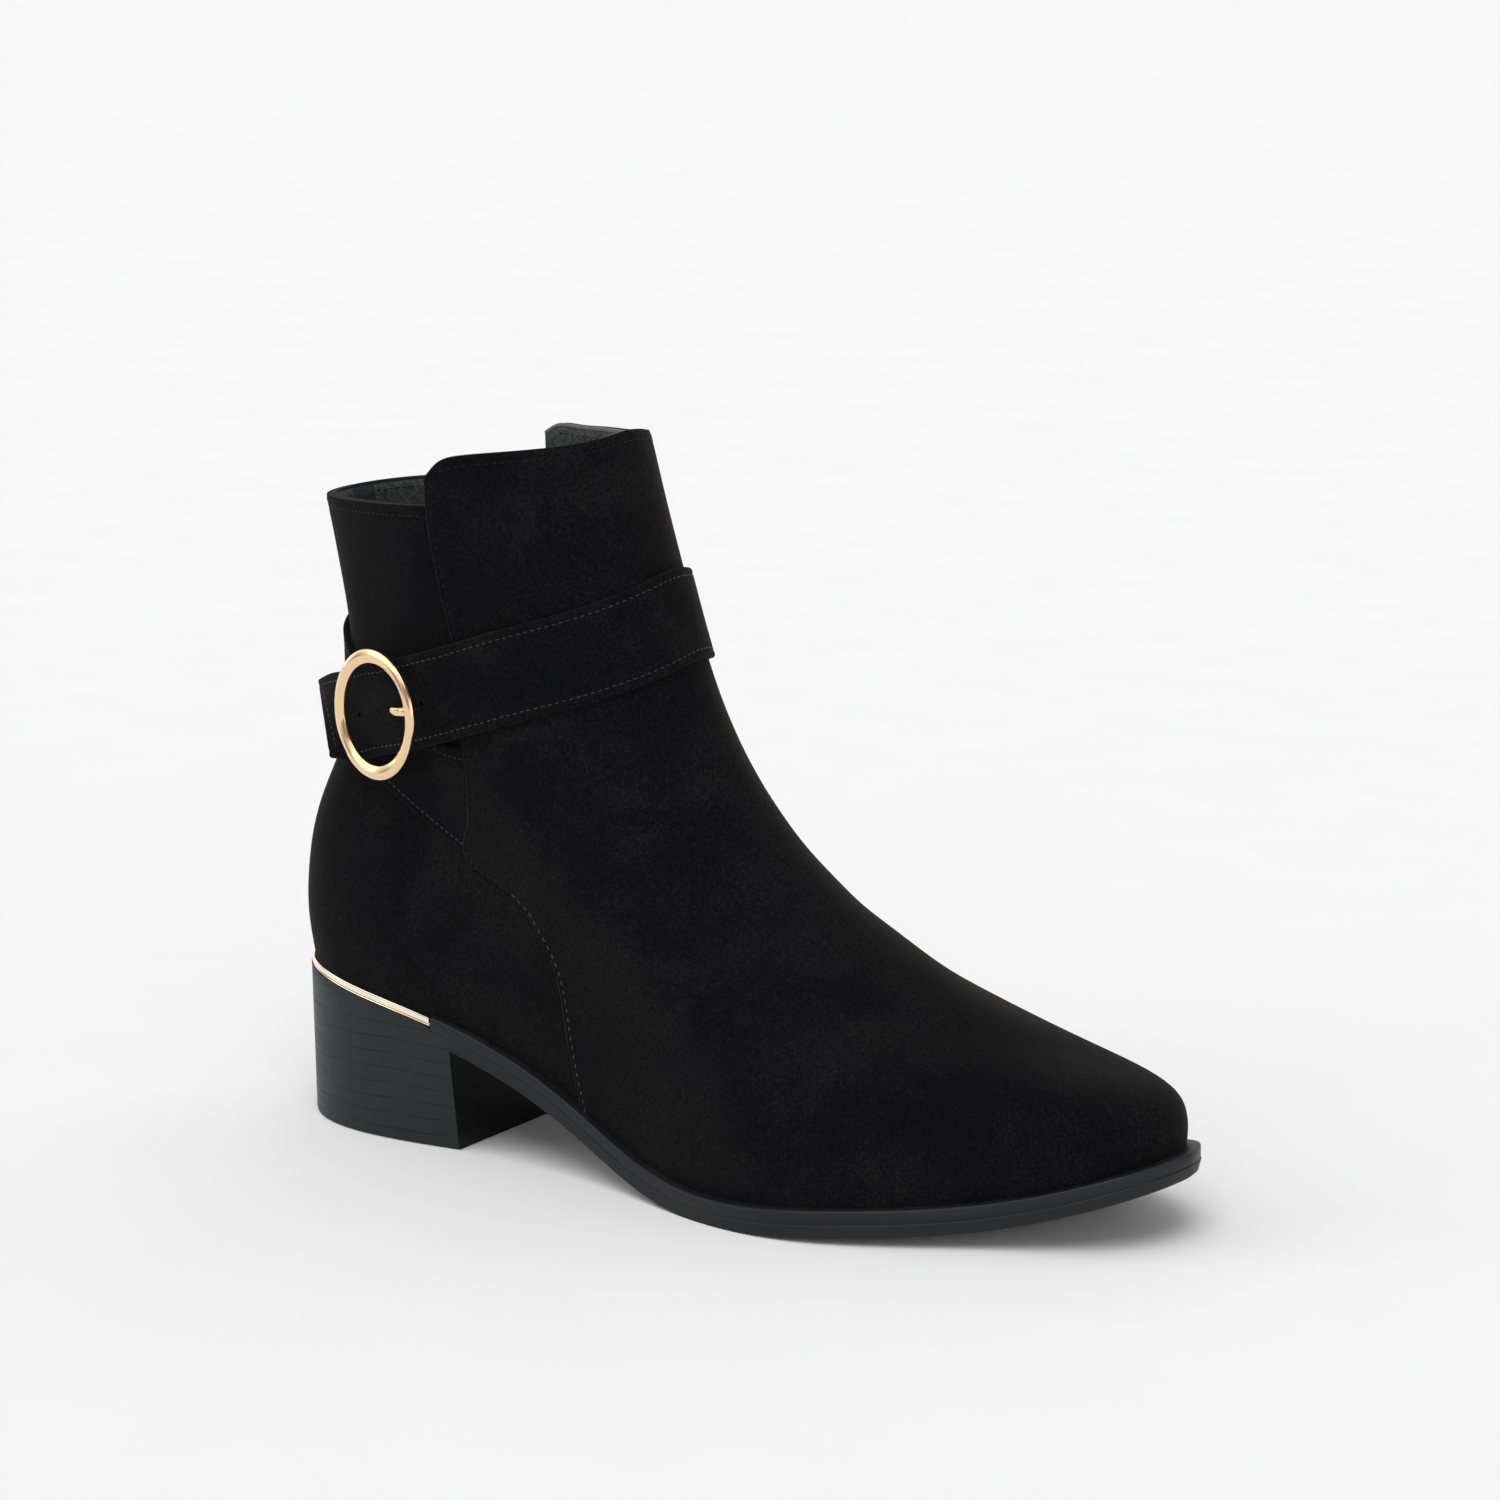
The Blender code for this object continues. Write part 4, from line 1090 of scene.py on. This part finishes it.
@dataclass
class Sole:
    """Welt, heel strip, outsole with its heel, and the insole."""

    last: BootLast
    maker: Maker
    wardrobe: Wardrobe
    # Drops under the seat of the outsole's top, of its top under the strip, and of its underside
    top: float = 3.75
    strip_low: float = 2.96
    low: float = 7.3
    toe_undercut: float = 1.6
    undercut_span: tuple = (140.0, 40.0)
    bead: float = 0.2
    # Depth of the welt's step behind the strip, and the angle where both end
    strip_seat: float = 2.1
    strip_end: float = 56.0
    # Angles, in radians, left free at the strip's ends and over which the heel closes up to it
    strip_gap: float = 0.004
    strip_fade: float = 0.02
    heel_breast: float = 59.3
    heel_front: float = 64.0
    heel_taper: tuple = (0.6, 3.7)
    stations: int = 150
    strip_stations: int = 160
    side_rows: int = 13

    def stations_to_toe(self, *extra: float) -> Array:
        """Angles from the back to the toe, with the given ones in degrees among them."""
        plain = np.linspace(0.0, math.pi, self.stations)
        return np.unique(np.concatenate((plain, np.radians(extra))))

    def both_sides(self, angle: float, profile: list) -> Array:
        """Section across the sole: the lateral profile down and the medial one back up.

        Args:
            angle: Station's angle.
            profile: Pairs of reach and drop.

        Returns:
            Points of the closed section, with the first repeated.
        """
        reach, drop = np.array(profile).T
        lateral, medial = [self.last.sole_edge(np.full(reach.shape, turn), reach, drop)
                           for turn in (angle, TAU - angle)]
        return np.concatenate((lateral, medial[::-1], lateral[:1]))

    def welt(self) -> None:
        """Top layer of the sole, set back behind the strip at the heel."""
        end = math.radians(self.strip_end)
        sections = []
        for angle in self.stations_to_toe(self.strip_end):
            full = float(self.last.reach(angle))
            reaches = [full - self.strip_seat] * (angle <= end) + [full] * (angle >= end)
            sections += [self.both_sides(angle, [(reach + out, drop) for out, drop in WELT])
                         for reach in reaches]
        piece = self.maker.grid("welt_band", np.array(sections), Closing.ROUND, crease=50.0)
        dress(piece, [self.wardrobe.welt], ("welt",))

    def strip(self) -> None:
        """Gold band round the heel with a fine lip under a groove."""
        end = math.radians(self.strip_end) - self.strip_gap
        angles = np.linspace(-end, end, self.strip_stations)
        reach = self.last.reach(angles)
        sections = [self.last.sole_edge(angles, reach + out, drop)
                    for out, drop in (*STRIP, STRIP[0])]
        piece = self.maker.grid("gold_heel_strip", np.stack(sections, 1), Closing.CAPPED)
        dress(piece, [self.wardrobe.pale_gold], ("heel_strip",))

    def outsole(self) -> None:
        """Forefoot, arch and block heel; the breast is where both sections meet at one station."""
        breast = math.radians(self.heel_breast)
        sections = []
        for angle in self.stations_to_toe(self.heel_breast, self.heel_breast - 0.5):
            reach = float(self.last.reach(angle))
            if angle <= breast:
                sections.append(self.heel_section(angle, reach))
            if angle >= breast:
                sections.append(self.fore_section(angle, reach + self.bead))
        piece = self.maker.grid("outsole_unit", np.array(sections), Closing.ROUND, crease=35.0)
        # Heel faces turned to the toe take the darker copy of the lacquer, painted shade on the
        # breast; the rest of the heel takes the lacquer itself
        sole_slope, painted_shade_facing = -0.7, 0.8
        for face in piece.data.polygons:
            behind = face.center.x < (self.last.shift[0] + self.heel_front) * MM
            if behind and face.normal.z > sole_slope:
                face.material_index = 2 if face.normal.x > painted_shade_facing else 1
        materials = [self.wardrobe.sole, self.wardrobe.heel, self.wardrobe.breast]
        dress(piece, materials, ("outsole",))

    def heel_section(self, angle: float, reach: float) -> Array:
        """Section of the heel block, closed up to the strip as far as the strip goes."""
        covered = float(smooth((math.radians(self.strip_end) - angle) / self.strip_fade))
        top = self.top + (self.strip_low - self.top) * covered
        least, most = self.heel_taper
        taper = least + (most - least) * (angle / math.radians(self.heel_breast)) ** 3
        down = np.linspace(0.0, 1.0, self.side_rows + 1)[1:]
        profile = [(reach + out, top + drop) for out, drop in HEEL_LIP]
        profile += [(reach - taper * t, top) for t in down]
        profile += [(reach - taper + out, top) for out, _ in HEEL_FOOT[1:]]
        section = self.both_sides(angle, profile)
        lip, half = len(HEEL_LIP), len(profile)
        for points in (section[:half], section[half:-1][::-1]):
            start = points[lip - 1, 2]
            points[lip:lip + len(down), 2] = start + (HEEL_FOOT[0][1] - start) * down
            points[lip + len(down):, 2] = column(HEEL_FOOT[1:], 1)
        return section

    def fore_section(self, angle: float, reach: float) -> Array:
        """Section of the outsole's waist or forefoot, with as many points as the heel's."""
        start, run = self.undercut_span
        under = self.toe_undercut * float(smooth((math.degrees(angle) - start) / run))
        lip = [(reach + out, self.top + drop) for out, drop in FORE_LIP]
        foot = [(reach + out - under * share, self.low - rise) for out, rise, share in FORE_FOOT]
        side = np.linspace(lip[-1], foot[0], self.side_rows + 1)[1:]
        section = self.both_sides(angle, [*lip, *side, *foot[1:]])
        section[:, 2] = np.maximum(section[:, 2], 0.0)
        return section

    def insole(self) -> None:
        """Cloth over the insole board."""
        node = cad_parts["insole"]
        node.data.materials.clear()
        node.data.materials.append(self.wardrobe.sock)
        LOG.info("insole: %d faces", len(node.data.polygons))

    def build(self) -> None:
        """Makes all the pieces of the sole."""
        self.welt()
        self.strip()
        self.outsole()
        self.insole()


class StrapPath:
    """Centre line of the strap on the upper, measured along its length."""

    def __init__(self, last: BootLast) -> None:
        """Works out the lengths at the table's rows."""
        self.last = last
        table = np.array(STRAP)
        table[:, 0] = np.radians(table[:, 0])
        points = self.on_upper(table)[0]
        self.lengths = arc_lengths(points[None], 1)[0]
        self.table = Cubic(self.lengths, table)

    def on_upper(self, row: Array) -> tuple[Array, Array]:
        """Points of the upper and their levels at the angles and heights of rows."""
        angle, height = row[..., 0], row[..., 1]
        level = self.last.level_at(lambda _: angle, height)
        return self.last.point(level, angle), level

    def frame(self, length: Array) -> tuple[Array, Array, Array, Array, Array]:
        """Points, directions along and across, levels and angles at lengths."""
        row = self.table(length)
        point, level = self.on_upper(row)
        ahead, behind = [self.on_upper(self.table(length + step))[0] for step in (0.5, -0.5)]
        along = unit(ahead - behind)
        across = -unit(np.cross(self.last.normal(level, row[..., 0]), along))
        return point, along, across, level, row[..., 0]

    def length_at(self, degrees: float) -> float:
        """Length at which the strap passes an angle."""
        fine = np.linspace(0.0, self.lengths[-1], 4000)
        return float(np.interp(-math.radians(degrees), -self.table(fine)[:, 0], fine))

    def outside(self, length: float) -> Array:
        """Middle of the strap's outer face."""
        at = np.array([length])
        point, _, _, level, angle = self.frame(at)
        rise = self.table(at)[:, 2:].sum(-1)
        return (point + self.last.normal(level, angle) * rise[:, None])[0]

    def surface(self, length: Array, shift: Array) -> tuple[Array, Array, Array]:
        """Nearest places of the upper's form to places across the strap.

        Args:
            length: Lengths along the strap.
            shift: Distances across it.

        Returns:
            Points, normals and depths of the panel there.
        """
        point, _, across, level, angle = self.frame(length)
        target = point + across * shift[..., None]
        for _ in range(5):
            a, b = self.last.slopes(level, angle)
            miss = target - self.last.point(level, angle)
            pairs = ((a, a), (a, b), (b, b), (a, miss), (b, miss))
            aa, ab, bb, am, bm = [(p * q).sum(-1) for p, q in pairs]
            scale = aa * bb - ab * ab
            level = level + (am * bb - bm * ab) / scale
            angle = angle + (bm * aa - am * ab) / scale
        rest = np.where(angle > 0.0, self.last.step_depth(level, np.abs(angle)), 0.0)
        return self.last.point(level, angle), self.last.normal(level, angle), rest


@dataclass
class AnkleStrap:
    """Strap from the seam round the ankle to its end, with stitched edges and punched holes."""

    last: BootLast
    maker: Maker
    wardrobe: Wardrobe
    path: StrapPath
    width: float = 24.0
    start_angle: float = 79.0
    # Slant, least thickness and widening at the start, and slant at the tip, each with its run
    start_shear: tuple = (0.58, 40.0)
    start_thin: tuple = (0.5, 26.0)
    start_flare: tuple = (0.5, 24.0)
    tip_shear: tuple = (0.58, 14.0)
    # The strap leaves the upper's curve this far before the ring, over a run
    ring_angle: float = -303.0
    flat_from: tuple = (32.0, 22.0)
    stations: int = 420
    stitch_inset: float = 2.3
    stitch_ends: tuple = (1.5, 2.5)
    stitch_pitch: float = 1.9
    stitch: tuple = (1.2, 0.34, 0.32)
    hole_radius: float = 0.75
    punch_length: float = 6.0
    # Distances of the holes from the tip, and their places across
    holes: tuple = ((16.0, -0.02), (31.0, -0.06), (43.7, -0.08))
    start: float = field(init=False)
    end: float = field(init=False)

    def __post_init__(self) -> None:
        """Works out the lengths at which the strap starts and ends."""
        self.start, self.end = self.path.length_at(self.start_angle), self.path.lengths[-1]

    def face(self, length: Array, share: Array | float, outer: float) -> tuple[Array, Array]:
        """Points and normals of the strap.

        Args:
            length: Lengths along the strap.
            share: Places across it, from -1 at the lower edge to 1 at the upper.
            outer: 0 on the inner face and 1 on the outer.

        Returns:
            Points and normals.
        """
        past = length - self.start
        widen, run = self.start_flare
        flare = 1.0 + widen * (1.0 - smooth(past / run)) * (share > 0.0)
        shift = share * self.width / 2.0 * flare
        slant = np.zeros_like(length)
        for (shear, run), away in ((self.start_shear, past), (self.tip_shear, self.end - length)):
            slant = slant + shear * np.maximum(0.0, 1.0 - away / run)
        before, run = self.flat_from
        flat = smooth((length - self.path.length_at(self.ring_angle) + before) / run)[..., None]
        middle, along, across, level, angle = self.path.frame(length)
        point, normal, rest = self.path.surface(length + slant * shift, shift)
        level_point = middle + across * shift[..., None] + along * (slant * shift)[..., None]
        point = point + (level_point - point) * flat
        normal = unit(normal + (self.last.normal(level, angle) - normal) * flat)
        row = self.path.table(length)
        least, run = self.start_thin
        thin = least + (1.0 - least) * smooth(past / run)
        rise = row[..., 2] + rest + outer * row[..., 3] * thin
        return point + normal * rise[..., None], normal

    def punch(self, piece: Object) -> None:
        """Punches the buckle's holes through the strap."""
        for back, share in self.holes:
            at, out = self.face(np.array([self.end - back]), np.array([share]), 0.5)
            deselect()
            bpy.ops.mesh.primitive_cylinder_add(vertices=20, radius=self.hole_radius * MM,
                                                depth=self.punch_length * MM)
            cutter = bpy.context.object
            turn = Vector(out[0]).to_track_quat("Z", "Y").to_matrix().to_4x4()
            cutter.data.transform(Matrix.Translation(Vector(self.maker.metres(at)[0])) @ turn)
            apply_modifier(piece, "BOOLEAN", object=cutter, operation="DIFFERENCE", solver="EXACT")
            bpy.data.objects.remove(cutter)

    def band(self) -> None:
        """Makes the strap with its holes."""
        lengths = np.linspace(self.start, self.end, self.stations)
        lower = [(-share, outer) for share, outer in STRAP_FACE[:0:-1]]
        section = [*lower, *STRAP_FACE, *STRAP_BACK, lower[0]]
        rows = [self.face(lengths, np.full_like(lengths, share), outer)[0]
                for share, outer in section]
        piece = self.maker.grid("ankle_strap_band", np.stack(rows, 1), Closing.CAPPED, crease=50.0)
        self.punch(piece)
        dress(piece, [self.wardrobe.strap_suede], ("ankle_strap",))

    def seams(self) -> None:
        """Makes the stitches along both edges and across the tip."""
        edge = 1.0 - 2.0 * self.stitch_inset / self.width
        first, last = self.start + self.stitch_ends[0], self.end - self.stitch_ends[1]
        fine, tip = np.linspace(first, last, 900), np.linspace(-edge, edge, 40)
        faces = [self.face(fine, np.full_like(fine, share), 0.95) for share in (edge, -edge)]
        faces.append(self.face(np.full_like(tip, last), tip, 0.98))
        lines = [resample(points, self.stitch_pitch, normals) for points, normals in faces]
        piece = self.maker.stitches("strap_stitches", lines, self.stitch)
        dress(piece, [self.wardrobe.dark_thread])

    def build(self) -> None:
        """Makes the strap and its stitches."""
        self.band()
        self.seams()


@dataclass
class RingBuckle:
    """Round ring with its bar and prong."""

    path: StrapPath
    maker: Maker
    wardrobe: Wardrobe
    ring_angle: float = -298.6
    chord: float = 14.0
    lean: float = 6.0
    # Height of the ring's middle over the strap, and its drop under the strap's middle
    stand: float = 3.6
    drop: float = 0.7
    inner: float = 13.45
    outer: float = 17.1
    bar_radius: float = 0.7
    rod_stations: int = 60
    end_rows: int = 3
    axes: Array = field(init=False)
    middle: Array = field(init=False)

    def __post_init__(self) -> None:
        """Works out the ring's middle and its axes along the strap, up and out."""
        length = self.path.length_at(self.ring_angle)
        front, back = [self.path.outside(length + step) for step in (-self.chord, self.chord)]
        along = unit(front - back)
        across = self.path.frame(np.array([length]))[2][0]
        up = unit(across - along * float(across @ along))
        out = np.cross(along, up)
        turn = math.radians(self.lean)
        leaned_up = up * math.cos(turn) - out * math.sin(turn)
        self.axes = np.stack((along, leaned_up, out * math.cos(turn) + up * math.sin(turn)))
        self.middle = self.path.outside(length) + out * self.stand - leaned_up * self.drop

    def ring(self) -> None:
        """Ring whose two sloped faces meet in a soft ridge."""
        turns = np.linspace(0.0, TAU, 161)
        circle = np.stack((np.cos(turns), np.sin(turns)), -1)
        rows = []
        for across, out in RING:
            radius = self.inner + (self.outer - self.inner) * across
            rows.append(np.concatenate((radius * circle, np.full((len(turns), 1), out)), 1))
        points = self.middle + np.stack(rows, 1) @ self.axes
        piece = self.maker.grid("gold_ring", points, Closing.ROUND, crease=28.0)
        dress(piece, [self.wardrobe.gold], ("buckle_ring",))

    def rod(self, name: str, table: Array, replaced: tuple) -> None:
        """Rounded rod in a plane of the ring's frame.

        Args:
            name: Name of the piece.
            table: Points of its middle in the ring's frame, each with a half height and half width.
            replaced: Solid that it stands for.
        """
        line = table[:, :3]
        lengths = arc_lengths(line[None], 1)[0]
        curve = Cubic(lengths, table)(np.linspace(0.0, lengths[-1], self.rod_stations))
        along = unit(np.gradient(curve[:, :3], axis=0))
        lengthwise = np.ptp(line[:, 0]) > np.ptp(line[:, 1])
        wide = np.array((0.0, 1.0, 0.0) if lengthwise else (1.0, 0.0, 0.0))
        tall = np.cross(along, wide)
        turns = np.linspace(0.0, TAU, 21)
        place = np.arange(self.rod_stations)
        near = np.minimum(np.minimum(place, place[::-1]) / self.end_rows, 1.0)
        round_end = np.sqrt(np.clip(1.0 - (1.0 - near) ** 2, 0.05, 1.0))[:, None]
        local = (curve[:, None, :3]
                 + tall[:, None] * (curve[:, 3:4] * round_end * np.sin(turns))[..., None]
                 + wide * (curve[:, 4:5] * round_end * np.cos(turns))[..., None])
        piece = self.maker.grid(name, self.middle + local @ self.axes, Closing.CAPPED)
        dress(piece, [self.wardrobe.gold], replaced)

    def build(self) -> None:
        """Makes the ring, the bar behind the strap and the prong."""
        self.ring()
        ends = [*BAR, *[(-up, out) for up, out in BAR[::-1]]]
        bar = np.array([(0.0, up, out, self.bar_radius, self.bar_radius) for up, out in ends])
        self.rod("gold_bar", bar, ())
        self.rod("gold_prong", np.array(PRONG), ("buckle_prong",))


@dataclass
class Studio:
    """Pale floor, soft light and the camera."""

    last: BootLast
    target: tuple = (134.61, 0.0, 109.87)
    azimuth: float = 32.71
    elevation: float = 11.62
    distance: float = 1100.0
    lens: float = 103.8
    sensor: float = 36.0
    floor_size: float = 60.0
    far_clip: float = 200.0
    backdrop: str = "#f8f8f8"
    # Tone of the surround from the horizon to straight up
    surround: tuple = ((0.0, "#ffffff"), (0.25, "#fafafa"), (0.5, "#c4c4c4"), (1.0, "#989898"))
    # Cards round the boot: how many, how soft their edges are, and the power between and on them
    card_scale: float = 1.9
    card_edge: tuple = (0.4, 0.62)
    card_power: tuple = (0.35, 1.5)
    # Name, power, tilt, turn and apparent size of each lamp
    lamps: tuple = (("key_soft", 1.2, 30.0, 20.0, 40.0), ("top_soft", 0.4, 4.0, 200.0, 50.0),
                    ("left_soft", 0.38, 56.0, -60.0, 50.0))

    def floor(self) -> None:
        """Wide sheet of paper that the boot stands on."""
        deselect()
        bpy.ops.mesh.primitive_plane_add(size=self.floor_size, location=(0.0, 0.0, -0.1 * MM))
        sheet = bpy.context.object
        sheet.name = "paper_floor"
        sheet.data.materials.append(StudioPaper("white_paper").make())

    def light(self) -> None:
        """Soft lamps, a surround of pale cards that the gold mirrors, and a plain backdrop."""
        scene = bpy.context.scene
        scene.world = bpy.data.worlds.new("studio")
        scene.world.use_nodes = True
        tree = scene.world.node_tree
        pattern = Pattern(tree, "Generated")
        height = add_node(tree, "SeparateXYZ", {"Vector": pattern.place}).outputs["Z"]
        cards = add_node(tree, "TexNoise", {"Vector": pattern.place, "Scale": self.card_scale,
                                            "Detail": 0.0})
        power = pattern.remap(cards.outputs["Fac"], self.card_edge, self.card_power)
        around = add_node(tree, "Background", {"Color": pattern.ramp(height, self.surround),
                                               "Strength": power})
        backdrop = add_node(tree, "Background", {"Color": hex_linear(self.backdrop)})
        seen = add_node(tree, "LightPath", {}).outputs["Is Camera Ray"]
        both = add_node(tree, "MixShader", {0: seen, 1: around.outputs[0], 2: backdrop.outputs[0]})
        tree.links.new(both.outputs[0], tree.nodes["World Output"].inputs["Surface"])
        for name, strength, tilt, turn, size in self.lamps:
            light = bpy.data.lights.new(name, "SUN")
            light.energy = strength
            light.angle = math.radians(size)
            lamp = bpy.data.objects.new(name, light)
            lamp.rotation_euler = (math.radians(tilt), 0.0, math.radians(turn))
            scene.collection.objects.link(lamp)

    def camera(self) -> None:
        """Camera at the photograph's angle."""
        turn, rise = math.radians(self.azimuth), math.radians(self.elevation)
        back = Vector((math.sin(turn) * math.cos(rise), -math.cos(turn) * math.cos(rise),
                       math.sin(rise)))
        lens = bpy.data.cameras.new("camera")
        lens.lens, lens.sensor_width, lens.clip_end = self.lens, self.sensor, self.far_clip
        camera = bpy.data.objects.new("camera", lens)
        bpy.context.scene.collection.objects.link(camera)
        target = Vector((np.array(self.target) + self.last.shift) * MM)
        camera.location = target + back * self.distance * MM
        camera.rotation_mode = "QUATERNION"
        camera.rotation_quaternion = (-back).to_track_quat("-Z", "Y")
        bpy.context.scene.camera = camera

    def build(self) -> None:
        """Sets up the studio."""
        self.floor()
        self.light()
        self.camera()
        bpy.context.scene.view_settings.view_transform = "Standard"


def main() -> None:
    """Builds the boot's looks and the studio."""
    logging.basicConfig(level=logging.INFO, format="%(name)s %(message)s")
    last = BootLast()
    maker, wardrobe, path = Maker(last), Wardrobe(), StrapPath(last)
    for part in (Upper(last, maker, wardrobe), Sole(last, maker, wardrobe),
                 AnkleStrap(last, maker, wardrobe, path), RingBuckle(path, maker, wardrobe),
                 Studio(last)):
        part.build()


if __name__ == "__main__":
    main()
